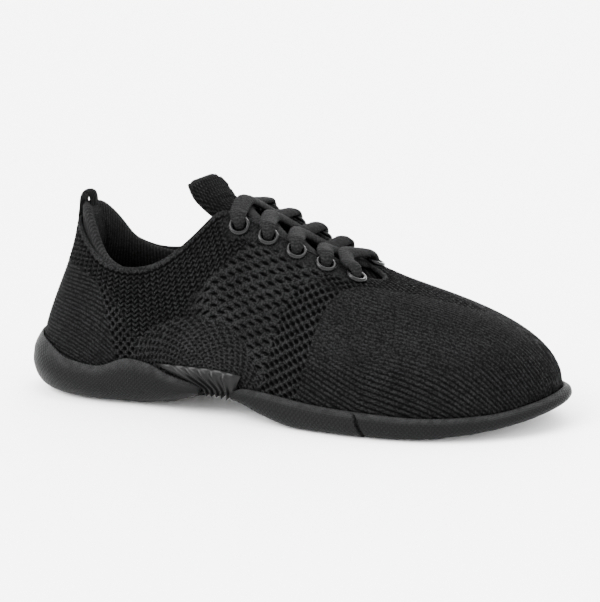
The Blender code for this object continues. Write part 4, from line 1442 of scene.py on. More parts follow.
@dataclass
class SoleUnit:
    """One moulded sole unit: underside, rounded wall, lip and the bed inside it."""

    name: str
    start_x: float
    end_x: float
    walls: tuple
    side: tuple  # share of the way up the wall, and how far it is set in
    grooves: tuple = ()  # across the underside, and up the wall where it says so
    recess: "HeelTread | None" = None  # what is let into the underside
    across: int = 26
    along: int = 130
    crowd: float = 1.8

    def __post_init__(self) -> None:
        """Sees which end is the rounded one."""
        self.is_heel = self.start_x < 50.0

    def stations(self) -> Array:
        """Places along the foot, closer at the rounded end and at each groove.

        Returns:
            The places, in rising order.
        """
        share = np.linspace(0.0, 1.0, self.along)
        share = share**self.crowd if self.is_heel else 1 - (1 - share) ** self.crowd
        places = self.start_x + share * (self.end_x - self.start_x)
        slit, groove = np.linspace(-4.4, 4.4, 34), np.linspace(-1.6, 1.6, 11)
        near = [g.x + (slit if g.wall else groove) for g in self.grooves]
        return np.unique(np.round(np.concatenate([places, *near]), 2))

    def build(self) -> None:
        """Moulds the unit and dresses it."""
        xs = self.stations()
        outer, inner = FORM.share_at(xs, False, False), FORM.share_at(xs, True, False)
        if self.is_heel:
            shares = np.concatenate([inner[::-1] - 1.0, outer])
        else:
            shares = np.concatenate([outer, inner[::-1]])
        rows = self.wall_rows(shares)
        count = len(shares)
        pairs = np.stack([np.arange(count // 2), count - 1 - np.arange(count // 2)])
        bed = self.cap(rows[-1], pairs, FORM.bed)
        end = np.linspace(rows[:, 0], rows[:, -1], self.across, axis=1)
        if self.recess:
            under = self.under_recess(np.concatenate([rows[0], end[0, -2:0:-1]]), self.recess)
        else:
            under = self.cap(rows[0], pairs, FORM.ground)
        self.finish(rows, bed, end, under)

    @staticmethod
    def under_recess(edge: Array, tread: "HeelTread") -> Array:
        """Rings of the underside, from its edge in to the tread's recess and up into it.

        Args:
            edge: The underside's edge.
            tread: What the recess takes.

        Returns:
            One ring of points for each step in.
        """
        centre = np.array(tread.centre)
        away = (edge[:, :2] - centre) / (tread.half_length, tread.half_width)
        angle = np.arctan2(away[:, 1], away[:, 0])
        rings = []
        for s in np.linspace(0.0, 1.0, 14):
            plan = edge[:, :2] * (1 - s) + tread.outline(1.3, angle) * s
            rings.append(np.column_stack([plan, FORM.ground(plan[:, 0])]))
        for grow, rise in ((0.95, 0.12), (0.7, 0.5), (0.6, 1.2), (0.5, 2.6), (-3.0, 2.8)):
            plan = tread.outline(grow, angle)
            rings.append(np.column_stack([plan, FORM.ground(plan[:, 0]) + rise]))
        middle = np.array((*centre, FORM.ground(centre[0]) + 2.8))
        rings.append(np.broadcast_to(middle, edge.shape))
        return np.array(rings)

    def wall_rows(self, shares: Array) -> Array:
        """Rows of points from the underside's edge up the wall, over the lip and down to the bed.

        Args:
            shares: Shares of the way round the shoe.

        Returns:
            Rows of one point for each share.
        """
        foot, out = FORM.foot_line(shares)
        x, away = foot[:, 0], level_ways(out)
        low, top = FORM.ground(x), smooth_profile(x, self.walls)
        t = FORM.height_share(shares, top)
        last = self.side[-1].x
        rows = []
        for v in np.concatenate([np.linspace(0.0, 0.2, 8), np.linspace(0.26, last, 9)]):
            reach = SOLE_EDGE - smooth_profile(np.array([v]), self.side)[0]
            row = np.column_stack([foot + out * reach, low + v * (top - low)])
            rows.append(row - away * self.notch(x, v)[:, None])
        shoulder = rows[-1]
        lip = FORM.point(shares, t, GAP + LIP)
        for s in (0.35, 0.7, 1.0):
            swell = away * 0.35 * math.sin(s * math.pi)
            inward = away * self.notch(x, last + s * (1 - last))[:, None] * 0.7
            rows.append(shoulder * (1 - s) + lip * s + swell - inward * (s < 1.0))
        for lift, rise in ((0.92 * LIP, 0.22), (0.6 * LIP, 0.38), (0.3 * LIP, 0.32), (0.1, 0.0)):
            rows.append(FORM.point(shares, t, GAP + lift) + UP * rise)
        rows.append(FORM.point(shares, t * 0.5, GAP))
        base = FORM.point(shares, 0.0, GAP)
        base[:, 2] = FORM.bed(x)
        return np.array(rows + [base])

    @staticmethod
    def lip_highlight_rows(rows: int) -> Array:
        """How much painted highlight each row of the wall takes: most along the lip, where its rounded edge
        catches light, a little along the bottom edge.
        """
        place = np.arange(rows)
        return hump(place, 19.0, 3.5) * (place < 22) + 0.4 * hump(place, 2.0, 2.5)

    def notch(self, x: Array, v: float) -> Array:
        """Depth of the slanted slits in the wall at a share of its height.

        Args:
            x: Places along the foot.
            v: Share of the wall's height.

        Returns:
            A depth for each place.
        """
        depth = np.zeros(len(x))
        for groove in self.grooves:
            if groove.wall:
                aside = np.abs(x - (groove.x - 2.2 + 4.2 * (1 - v) ** 1.4))
                depth += 0.8 * groove.deep * smooth_step(aside, 0.95, 0.35) * smooth_step(v, 1.0, 0.9)
        return depth

    def cap(self, row: Array, pairs: Array, level: Callable) -> Array:
        """Strips across from each point of a row to the one on the other side.

        Args:
            row: The row.
            pairs: Numbers of the points that face each other.
            level: Gives the strips' height along the foot.

        Returns:
            A grid of points.
        """
        left, right = row[pairs[0]], row[pairs[1]]
        grid = np.linspace(left, right, self.across, axis=1)
        inside = grid[:, 1:-1]
        inside[..., 2] = level(inside[..., 0])
        if level == FORM.ground:
            for groove in self.grooves:
                middle = groove.x + (1.9 if groove.wall else 0.0)
                inside[..., 2] += groove.deep * smooth_step(np.abs(inside[..., 0] - middle), 1.0, 0.5)
        return grid

    def finish(self, rows: Array, *caps: Array) -> None:
        """Joins wall and caps into one closed mesh and adds it.

        Args:
            rows: The wall's rows.
            caps: Grids that close it.
        """
        grids = [rows, *caps]
        points, faces, uvs, start = [], [], [], 0
        for k, grid in enumerate(grids):
            closed = self.recess is not None and k == len(grids) - 1
            faces.append(grid_faces(*grid.shape[:2], round_columns=closed) + start)
            points.append(grid.reshape(-1, 3))
            uvs.append((grid_uv(grid) if k == 0 else grid[..., :2]).reshape(-1, 2))
            start += grid.shape[0] * grid.shape[1]
        mesh = mesh_from(f"{self.name}_foam", np.concatenate(points), np.concatenate(faces))
        set_uv(mesh, np.concatenate(uvs))
        # Painted highlight along the wall's lip and bottom edge, one value per point, none on the caps
        worn = np.zeros(sum(map(len, points)))
        worn[: rows[..., 0].size] = np.repeat(self.lip_highlight_rows(len(rows)), rows.shape[1])
        set_attribute(mesh, "worn", worn)
        face_out(mesh, weld=True)
        mesh.set_sharp_from_angle(angle=math.radians(50))
        add_piece(mesh, FOAM.material(), "foam", self.name)


@dataclass
class HeelTread:
    """Egg-shaped rubber tread: a smooth ring round a pad of small hexagons."""

    centre: tuple[float, float] = (46.0, -0.6)
    half_length: float = 34.0
    half_width: float = 21.0
    egg: float = 0.13
    depth: float = 3.0
    lug_pitch: float = 3.3
    lug_gap: float = 0.45
    lug_height: float = 0.7
    lug_taper: float = 0.84
    pad_inset: float = 8.4
    pad_level: float = 0.72
    sides: int = 160

    def outline(self, grow: float, angles: Array) -> Array:
        """The tread's outline in plan, grown outwards, at angles about its middle.

        Args:
            grow: How far it is grown.
            angles: The angles.

        Returns:
            A point for each angle.
        """
        x = self.centre[0] + (self.half_length + grow) * np.cos(angles)
        y = self.centre[1] + (self.half_width + grow) * np.sin(angles) * (1 - self.egg * np.cos(angles))
        return np.column_stack([x, y])

    def drop(self, x: Array) -> Array:
        """How far the underside has risen at x from its level at the tread's middle."""
        return FORM.ground(x) - FORM.ground(self.centre[0])

    def ring(self, grow: float, z: float) -> Array:
        """An outline at a height."""
        outline = self.outline(grow, np.linspace(0.0, 2 * math.pi, self.sides, endpoint=False))
        return np.column_stack([outline, z + self.drop(outline[:, 0])])

    def build(self) -> None:
        """Moulds the ring and the pad, and sets the hexagons on it."""
        section = (
            (-18.0, 0.7), (-12.0, 0.7), (-8.0, 0.7), (-6.5, 0.7), (-6.2, 1.3), (-5.2, 1.3), (-4.9, 0.35),
            (-4.6, 0.08), (-4.0, 0.0), (-1.4, 0.0), (-0.7, 0.12), (-0.2, 0.45), (0.0, 0.9), (0.0, self.depth),
        )
        mesh = ring_mesh("heel_tread_ring", np.array([self.ring(grow, z) for grow, z in section]))
        set_uv(mesh, (places_of(mesh) + FORM.origin)[:, :2])
        mesh.set_sharp_from_angle(angle=math.radians(55))
        for piece in (mesh, self.lugs()):
            add_piece(piece, TREAD.material(), "rubber", "heel_tread")

    def lug_centres(self) -> Array:
        """Middles of the hexagons, in staggered rows inside the pad.

        Returns:
            One row for each.
        """
        rise = self.lug_pitch * math.sqrt(3) / 2
        places = []
        for i in range(-14, 15):
            for j in range(-12, 13):
                x = self.centre[0] + (i + 0.5 * (j % 2)) * self.lug_pitch
                y = self.centre[1] + j * rise
                a = (x - self.centre[0]) / (self.half_length - self.pad_inset)
                half = (self.half_width - self.pad_inset) * (1 - self.egg * np.clip(a, -1, 1))
                b = (y - self.centre[1]) / half
                if a * a + b * b < 1.0:
                    places.append((x, y, self.pad_level + float(self.drop(x))))
        return np.array(places)

    def lugs(self) -> Mesh:
        """The hexagons, laid out by Geometry Nodes on the pad's points.

        Returns:
            All of them as one mesh.
        """
        points = bpy.data.meshes.new("lug_places")
        points.from_pydata(((self.lug_centres() - FORM.origin) * MM).tolist(), [], [])
        carrier = bpy.data.objects.new("lug_places", points)
        bpy.context.scene.collection.objects.link(carrier)
        radius = (self.lug_pitch - self.lug_gap) / math.sqrt(3)
        sizes = {"Radius": radius * MM, "Height": self.lug_height * MM}
        inputs = {"Geometry": ("NodeSocketGeometry", None)}
        inputs |= {label: (NUMBER, size) for label, size in sizes.items()}
        outputs = {"Geometry": "NodeSocketGeometry"}
        tree, kit, source, target = node_group("Hexagon Lugs", "GeometryNodeTree", inputs, outputs)
        radius = source.outputs["Radius"]
        top = kit.math("MULTIPLY", radius, self.lug_taper)
        feeds = {"Vertices": 6, "Radius Bottom": radius, "Radius Top": top, "Depth": source.outputs["Height"]}
        lug = kit.add("GeometryNodeMeshCone", feeds).outputs["Mesh"]
        feeds = {"Geometry": lug, "Rotation": (math.pi, 0.0, math.pi / 6)}
        lug = kit.add("GeometryNodeTransform", feeds).outputs[0]
        feeds = {"Points": source.outputs["Geometry"], "Instance": lug}
        spread = kit.add("GeometryNodeInstanceOnPoints", feeds).outputs[0]
        real = kit.add("GeometryNodeRealizeInstances", {"Geometry": spread}).outputs[0]
        paint = kit.add("GeometryNodeSetMaterial", {"Geometry": real, "Material": TREAD.material()})
        kit.feed(target, {"Geometry": paint.outputs[0]})
        modifier = carrier.modifiers.new("lugs", "NODES")
        modifier.node_group = tree
        for socket in tree.interface.items_tree:
            if socket.name in sizes:
                modifier[socket.identifier] = sizes[socket.name]
        mesh = frozen_mesh(carrier, "heel_tread_lugs")
        for layer in list(mesh.uv_layers):
            mesh.uv_layers.remove(layer)
        set_uv(mesh, places_of(mesh)[:, :2])
        return mesh


HEEL_SIDE = table(
    (0.00, 10.5), (0.05, 7.0), (0.17, 3.2), (0.34, 0.9), (0.52, 0.0), (0.75, 0.7),
)
FOREFOOT_SIDE = table((0.00, 7.5), (0.09, 3.4), (0.30, 0.9), (0.55, 0.0), (0.82, 0.5))
FLEX_GROOVES = (Groove(170.0, 2.0, True), Groove(189.0, 1.5, False), Groove(209.0, 1.5, False))


def sheet_mesh(name: str, front: Array, back: Array) -> Mesh:
    """A closed solid between two grids of points, joined along all four edges, with its cloth map.

    Args:
        name: Name of the mesh.
        front: The grid of its face.
        back: The grid of its back, of the same shape.

    Returns:
        The mesh: first the face's points, then the back's.
    """
    numbers = np.arange(front[..., 0].size).reshape(front.shape[:2])
    border = np.concatenate([numbers[0], numbers[1:, -1], numbers[-1, -2::-1], numbers[-2:0:-1, 0]])
    following = np.roll(border, -1)
    sides = np.column_stack([border, following, following + numbers.size, border + numbers.size])
    sheet = grid_faces(*numbers.shape)
    faces = np.concatenate([sheet, sheet[:, ::-1] + numbers.size, sides])
    mesh = mesh_from(name, np.concatenate([front.reshape(-1, 3), back.reshape(-1, 3)]), faces)
    face_out(mesh)
    uv = grid_uv(front).reshape(-1, 2)
    set_uv(mesh, np.concatenate([uv, uv]))
    return mesh


def finer(grid: Array, rows: int, columns: int) -> Array:
    """A grid of points resampled smoothly both ways."""
    tall = np.stack([even_path(grid[:, c], rows) for c in range(grid.shape[1])], axis=1)
    return np.stack([even_path(row, columns) for row in tall])


def grid_normals(grid: Array) -> Array:
    """Directions square to a grid of points."""
    return unit(np.cross(np.gradient(grid, axis=1), np.gradient(grid, axis=0)))


@dataclass(frozen=True)
class PadFilling:
    """Blows the cloth of a padded piece up a little between its seams, by cloth simulation."""

    pressure: float
    most: float = 1.4
    steps: int = 20

    def swell(self, mesh: Mesh, held: Array) -> Array:
        """How far each point of a pad moves as it fills.

        Args:
            mesh: The closed pad, coarse; it is removed.
            held: True for each point that is sewn or pressed down.

        Returns:
            A move for each point, in millimetres, none longer than the most.
        """
        scene = bpy.context.scene
        before = places_of(mesh)
        carrier = bpy.data.objects.new("pad", mesh)
        scene.collection.objects.link(carrier)
        carrier.vertex_groups.new(name="held").add(np.flatnonzero(held).tolist(), 1.0, "REPLACE")
        cloth = carrier.modifiers.new("filling", "CLOTH")
        cloth.point_cache.frame_start, cloth.point_cache.frame_end = 1, self.steps
        cloth.settings.vertex_group_mass = "held"
        cloth.settings.use_pressure = True
        cloth.settings.uniform_pressure_force = self.pressure
        cloth.settings.effector_weights.gravity = 0.0
        for step in range(1, self.steps + 1):
            scene.frame_set(step)
        filled = frozen_mesh(carrier, "filled_pad")
        moves = places_of(filled) - before
        bpy.data.meshes.remove(filled)
        scene.frame_set(1)
        lengths = np.linalg.norm(moves, axis=1, keepdims=True)
        log.info("pad filled: moved %.2f mm on average before the cap", lengths.mean())
        return moves * np.minimum(1.0, self.most / np.maximum(lengths, 1e-6))


@dataclass
class ArchSleeve:
    """The pleated rubber sleeve round the arch, between the two sole units."""

    wall: float = 1.2
    height: float = 9.5
    start: float = 96.8
    end: float = 109.6
    lean: float = 18.0
    fan: float = 3.0
    flange: float = 0.16
    pleats: int = 5
    depth: float = 1.6
    steps_a_pleat: int = 16
    steps_up: int = 12
    steps_under: int = 17

    def grid(self, lift: float) -> Array:
        """Rows along the foot, columns from one side under to the other, lifted off the upper.

        Args:
            lift: Distance off the upper.

        Returns:
            The grid of points.
        """
        pleated = np.linspace(0.0, 1.0, self.pleats * self.steps_a_pleat + 1)
        fan = np.concatenate([[-self.flange], pleated, [1.0 + self.flange]])
        heights = np.linspace(1.0, 0.0, self.steps_up)
        rows = []
        for f in fan:
            wave = (1.0 - ripple(f, 1.0 / self.pleats)) ** 2.2 if 0.0 < f < 1.0 else 0.0
            wall = (lift - GAP) * (0.2 + 0.8 * smooth_step(heights, 1.0, 0.75))
            swell = GAP + wall + self.depth * wave * smooth_step(heights, 1.05, 0.65)
            x = (self.start - self.lean * heights**1.25) * (1 - f) + (self.end + self.fan * heights) * f
            sides = []
            for inner_side in (False, True):
                shares = FORM.share_at(x, inner_side, False)
                t = FORM.height_share(shares, FORM.bed(x) + heights * self.height)
                sides.append(FORM.point(shares, t, swell))
            under = np.linspace(sides[0][-1], sides[1][-1], self.steps_under)
            under[:, 2] = FORM.bed(x[-1]) + GAP - swell[-1]
            rows.append(np.concatenate([sides[0][:-1], under, sides[1][-2::-1]]))
        return np.array(rows)

    def build(self) -> None:
        """Moulds the sleeve."""
        mesh = sheet_mesh("arch_sleeve_rubber", self.grid(GAP + self.wall), self.grid(GAP))
        add_piece(mesh, SLEEVE.material(), "sleeve", "arch_sleeve")


@dataclass
class Insole:
    """The liner on the sole's bed, slightly dished, with a rounded edge."""

    thickness: float = 3.0
    around: int = 240
    spine: tuple = table((30.0, 0.0), (216.0, 4.0))
    dish: float = 0.25

    def build(self) -> None:
        """Cuts the liner and lays it in."""
        shares = np.arange(self.around) / self.around
        x = FORM.foot_line(shares)[0][:, 0]
        low, high = 2 * GAP, 2 * GAP + self.thickness
        rings = []
        levels = ((1.2, low), (0.7, low + 0.6), (0.7, self.thickness), (1.0, high - 0.1), (1.6, high))
        for inset, rise in levels:
            row = FORM.point(shares, 0.0, -KNIT_WALL - inset)
            row[:, 2] = FORM.bed(x) + rise
            rings.append(row)
        rim = rings[-1]
        ends_x, ends_y = zip(*self.spine)
        spine_y = np.interp(rim[:, 0], ends_x, ends_y)
        spine = np.column_stack([np.clip(rim[:, 0], *ends_x), spine_y, rim[:, 2]])
        for s in np.linspace(0.12, 1.0, 12):
            row = rim * (1 - s) + spine * s
            row[:, 2] = FORM.bed(row[:, 0]) + high - self.dish * math.sin(s * math.pi / 2)
            rings.append(row)
        mesh = ring_mesh("insole_liner", np.array(rings))
        set_uv(mesh, places_of(mesh)[:, :2])
        add_piece(mesh, LINING.material(), "lining", "insole")


# Padding, pull loop and lace


TongueRow = namedtuple("TongueRow", "back raised width thickness")
PadStation = namedtuple("PadStation", "x thickness rise")
Fold = namedtuple("Fold", "along forward")


@dataclass
class Tongue:
    """The padded tongue under the throat, of holed spacer mesh, with a thick free top."""

    seat: float = 2.5
    thickness: float = 4.5
    underlap: float = 12.0
    square: float = 1.5
    corner: float = 0.92
    free_from: float = 0.68
    fill: float = 0.6
    filling: PadFilling = PadFilling(pressure=400.0)
    cloth: tuple[int, int] = (36, 23)
    mesh: tuple[int, int] = (190, 120)
    top: tuple = (
        TongueRow(4.2, 1.8, 0.87, 1.15),
        TongueRow(8.2, 4.3, 0.88, 1.4),
        TongueRow(11.8, 7.2, 1.0, 1.55),
        TongueRow(14.5, 9.9, 1.10, 1.55),
        TongueRow(15.8, 11.4, 1.10, 1.25),
        TongueRow(16.4, 12.1, 1.05, 0.7),
    )

    def section(self, x: float, lift: float) -> Array:
        """Points across the tongue at a place along the throat.

        Args:
            x: Place along the throat.
            lift: Distance off the tongue's face.

        Returns:
            Points from the outer to the inner side.
        """
        seat = GAP + (self.seat - GAP) * min(1.0, max(0.0, (160.0 - x) / 14.0))
        depth = lift - KNIT_WALL - seat
        flanks, edges, rises = [], [], []
        for inner_side in (False, True):
            u = np.full(4, FORM.share_at(x, inner_side, True))
            length = np.linalg.norm(FORM.rib_point(u[:1], [1.0]) - FORM.rib_point(u[:1], [0.9]))
            ts = 1.0 - 0.1 * self.underlap / length * np.array((1.0, 0.66, 0.33, 0.0))
            flank = FORM.point(u, ts, depth)
            flanks.append(flank)
            edges.append(flank[-1])
            rises.append(flank[-1] - flank[-2])
        span = np.linalg.norm(edges[1] - edges[0])
        rises = [unit(r) * 0.36 * span for r in rises]
        q = np.linspace(0.0, 1.0, 7)[1:-1, None]
        controls = (edges[0], edges[0] + rises[0], edges[1] + rises[1], edges[1])
        weights = ((1 - q) ** 3, 3 * q * (1 - q) ** 2, 3 * q**2 * (1 - q), q**3)
        crown = sum(w * c for w, c in zip(weights, controls))
        return np.concatenate([flanks[0], crown, flanks[1][::-1]])

    def middle(self, x: float, lift: float, column: int = 6) -> tuple[Array, Array]:
        """A point of the tongue's face, lifted off it.

        Args:
            x: Place along the throat.
            lift: Distance off the face.
            column: Which of the points across.

        Returns:
            The point, and the direction outwards.
        """
        low, high = self.section(x, 0.0)[column], self.section(x, 1.0)[column]
        out = unit(high - low)
        return low + out * lift, out

    def grid(self, lift: float) -> Array:
        """Rows of points up the tongue: under the vamp, along the throat, and the free top.

        Args:
            lift: Distance off its face, negative towards its back.

        Returns:
            The grid of points.
        """
        throat = [self.section(x, lift) for x in np.linspace(157.0, 107.0, 8)]
        forward = throat[0] - throat[1]
        rows = [throat[0] + (forward - UP) * share for share in (1.2, 0.6)] + throat
        across = np.linspace(-1.0, 1.0, len(throat[0]))
        aside = across[:, None] ** 2
        reach = 1.0 + self.square * aside - self.corner * aside**2
        for top in self.top:
            row = throat[-1] + reach * np.array((-top.back, 0.0, top.raised))
            centre = row.mean(axis=0)
            rows.append(centre + (row - centre) * np.array((1.0, top.width, 1.0)))
        return np.array(rows)

    def build(self) -> None:
        """Pads the tongue and knits the holes of its mesh into its face."""
        front, back = self.grid(0.0), self.grid(-self.thickness)
        columns = front.shape[1]
        share = np.sin(np.linspace(0.0, math.pi, columns)) ** 0.4
        swell = np.ones(len(front))
        swell[-len(self.top) :] = [top.thickness for top in self.top]
        back = front + (back - front) * (0.35 + 0.65 * share)[None, :, None] * swell[:, None, None]
        front, back = self.filled(finer(front, *self.cloth), finer(back, *self.cloth))
        front, back = finer(front, *self.mesh), finer(back, *self.mesh)
        uv = grid_uv(front)
        across = uv[..., 0] - uv[..., 0].mean(axis=1, keepdims=True)
        holes = lattice_holes(across, uv[..., 1], (2.7, 3.9), (0.72, 1.25))
        rim = self.rim()
        holes = holes * rim
        out = grid_normals(front)
        out *= np.sign((out * (front - back)).sum(axis=2).mean())
        face = front + out * ((0.45 * rim - 0.45) - 0.55 * holes)[..., None]
        under = back - out * (0.3 * rim - 0.3)[..., None]
        mesh = sheet_mesh("tongue_pad", face, under)
        # Painted shade in the holes of the mesh, on its face only
        set_attribute(mesh, "hollow", np.concatenate([holes.ravel(), np.zeros(holes.size)]))
        piece = add_piece(mesh, SPACER.material(), "mesh", "tongue")

    def filled(self, front: Array, back: Array) -> tuple[Array, Array]:
        """The face and the back after the free top has filled out; the laces hold the rest down.

        Args:
            front: Grid of the face.
            back: Grid of the back.

        Returns:
            Both grids, moved.
        """
        held = np.ones(front.shape[:2], bool)
        held[int(self.free_from * len(front)) : -1, 1:-1] = False
        moves = self.filling.swell(sheet_mesh("tongue_cloth", front, back), np.tile(held.ravel(), 2))
        moves = moves.reshape(2, *front.shape)
        return front + moves[0], back + moves[1]

    def rim(self) -> Array:
        """1 over the pad, falling to 0 at its sewn edges.

        Returns:
            A number for each point of the mesh.
        """
        rows, columns = (np.linspace(0.0, 1.0, count) for count in self.mesh)
        edge = np.minimum(np.minimum(columns, 1 - columns)[None, :] * 50.0, (1 - rows)[:, None] * 95.0)
        return smooth_step(edge, 0.2, 2.4)


@dataclass
class CollarPad:
    """The padded roll inside the collar, finely ribbed across, thickest at the heel."""

    end_x: float = 64.0
    fill: float = 0.7
    filling: PadFilling = PadFilling(pressure=150.0)
    count: int = 420
    rib_pitch: float = 1.7
    coarse: tuple[int, int] = (7, 2)
    # Share of the way up the ribs, and of the roll's thickness there
    rows: tuple = table(
        (0.60, 0.12), (0.70, 0.55), (0.80, 0.85),
        (0.90, 1.0), (0.98, 0.95), (1.03, 0.62),
    )
    stations: tuple = (
        PadStation(4.0, 6.0, 1.3), PadStation(20.0, 5.6, 1.25),
        PadStation(40.0, 3.6, 0.7), PadStation(64.0, 1.2, 0.0),
    )

    def build(self) -> None:
        """Rolls the padding round the collar."""
        start, end = (FORM.share_at(self.end_x, inner_side, False) for inner_side in (True, False))
        shares = np.linspace(start - 1.0, end, self.count)
        x = FORM.foot_line(shares)[0][:, 0]
        thickness = smooth_profile(x, self.stations, "thickness")
        rise = smooth_profile(x, self.stations, "rise")
        front, back = [], []
        for row in self.rows:
            t = np.where(row.x > 0.95, 0.95 + (row.x - 0.95) * (0.5 + rise), row.x)
            front.append(FORM.point(shares, t, -KNIT_WALL - GAP))
            back.append(FORM.point(shares, t, -KNIT_WALL - GAP - thickness * row.y))
        loop = np.array(front + back[::-1])
        rings = np.stack([self.rounded(loop[:, c]) for c in range(loop.shape[1])])
        rings = self.filled(rings)
        middle = rings.mean(axis=1, keepdims=True)
        lengths = run_length(middle[:, 0])
        ribs = ripple(lengths, self.rib_pitch)
        fade = smooth_step(np.minimum(lengths, lengths[-1] - lengths), 0.0, 6.0)
        rings = rings + unit(rings - middle) * (0.16 * (ribs - 0.7) * fade)[:, None, None]
        mesh = ring_mesh("collar_roll", rings)
        # Painted shade in the troughs between the ribs
        hollow = np.repeat(0.75 * (1 - ribs), rings.shape[1])
        set_attribute(mesh, "hollow", np.concatenate([hollow, [0.0, 0.0]]))
        set_uv(mesh, ring_uv(lengths, rings.shape[1], 40.0))
        piece = add_piece(mesh, COLLAR.material(), "lining", "collar_pad")

    def filled(self, rings: Array) -> Array:
        """The roll after it has filled out; its knit side and its ends are sewn down.

        Args:
            rings: Its rings.

        Returns:
            The rings, moved.
        """
        step, skip = self.coarse
        coarse = rings[::step, ::skip]
        rows, columns = coarse.shape[:2]
        held = np.zeros((rows, columns), bool)
        held[:, : int(0.45 * columns)] = held[:, -1] = held[0] = held[-1] = True
        held = np.concatenate([held.ravel(), [True, True]])
        moves = self.filling.swell(ring_mesh("collar_cloth", coarse), held)
        moves = moves[:-2].reshape(coarse.shape)
        moves = np.concatenate([moves, moves[:, :1]], axis=1)
        wanted, known = np.arange(len(rings)), np.arange(rows) * step
        tall = np.stack([np.interp(wanted, known, line) for line in moves.reshape(rows, -1).T])
        tall = tall.T.reshape(len(rings), columns + 1, 3)
        between = np.repeat(tall[:, :-1], skip, axis=1)
        between[:, 1::skip] = (tall[:, :-1] + tall[:, 1:]) / 2
        return rings + between

    @staticmethod
    def rounded(loop: Array, count: int = 44) -> Array:
        """A closed section rounded through its corners.

        Args:
            loop: The corners.
            count: How many points to make.

        Returns:
            The points.
        """
        spare, steps = 3, 30
        padded = np.concatenate([loop[-spare:], loop, loop[:spare]])
        fine = smooth_path(padded, steps * (len(padded) - 1) + 1)
        fine = fine[steps * spare : steps * (spare + len(loop))]
        length = run_length(fine)
        wanted = np.linspace(0.0, length[-1], count, endpoint=False)
        return np.column_stack([np.interp(wanted, length, fine[:, k]) for k in range(3)])


@dataclass
class HeelLoop:
    """The woven pull band, sewn up the back of the heel and folded forward over the collar."""

    width: float = 13.0
    thickness: float = 1.2
    run: tuple = (0.72, 0.80, 0.88, 0.96, 1.02)
    folds: tuple = (
        Fold(3.0, 0.2), Fold(6.5, 0.2), Fold(9.0, 0.8), Fold(10.3, 2.1),
        Fold(9.8, 3.6), Fold(7.4, 4.6), Fold(4.4, 4.9),
    )
    mesh: tuple[int, int] = (120, 53)
    cord_pitch: float = 1.6

    def build(self) -> None:
        """Weaves the band along its fold."""
        half = self.width / 2 / FORM.girth
        shares = np.linspace(-half, half, 7)
        rows = [FORM.point(shares, t, GAP) for t in self.run]
        along = unit(rows[-1][3] - rows[-2][3])
        forward = np.array((along[2], 0.0, -along[0]))
        for fold in self.folds:
            rows.append(rows[len(self.run) - 1] + along * fold.along + forward * fold.forward)
        back = finer(np.array(rows), *self.mesh)
        out = grid_normals(back)
        out *= np.sign((out[5] * np.array((-1.0, 0.0, 0.0))).sum(axis=1).mean())
        uv = grid_uv(back)
        cords = ripple(uv[..., 0], self.cord_pitch)
        edge = hump(np.linspace(-1.0, 1.0, self.mesh[1]), 0.0, 1.02)[None, :] ** 0.25
        front = back + out * ((self.thickness - 0.22 + 0.22 * cords) * edge)[..., None]
        back = back - out * (0.14 * cords * edge * smooth_step(uv[..., 1], 14.0, 17.0))[..., None]
        mesh = sheet_mesh("heel_loop_band", front, back)
        # Painted shade between the woven cords
        set_attribute(mesh, "hollow", np.tile((0.6 * (1 - cords)).ravel(), 2))
        add_piece(mesh, WEBBING.material(), "webbing", "heel_loop")


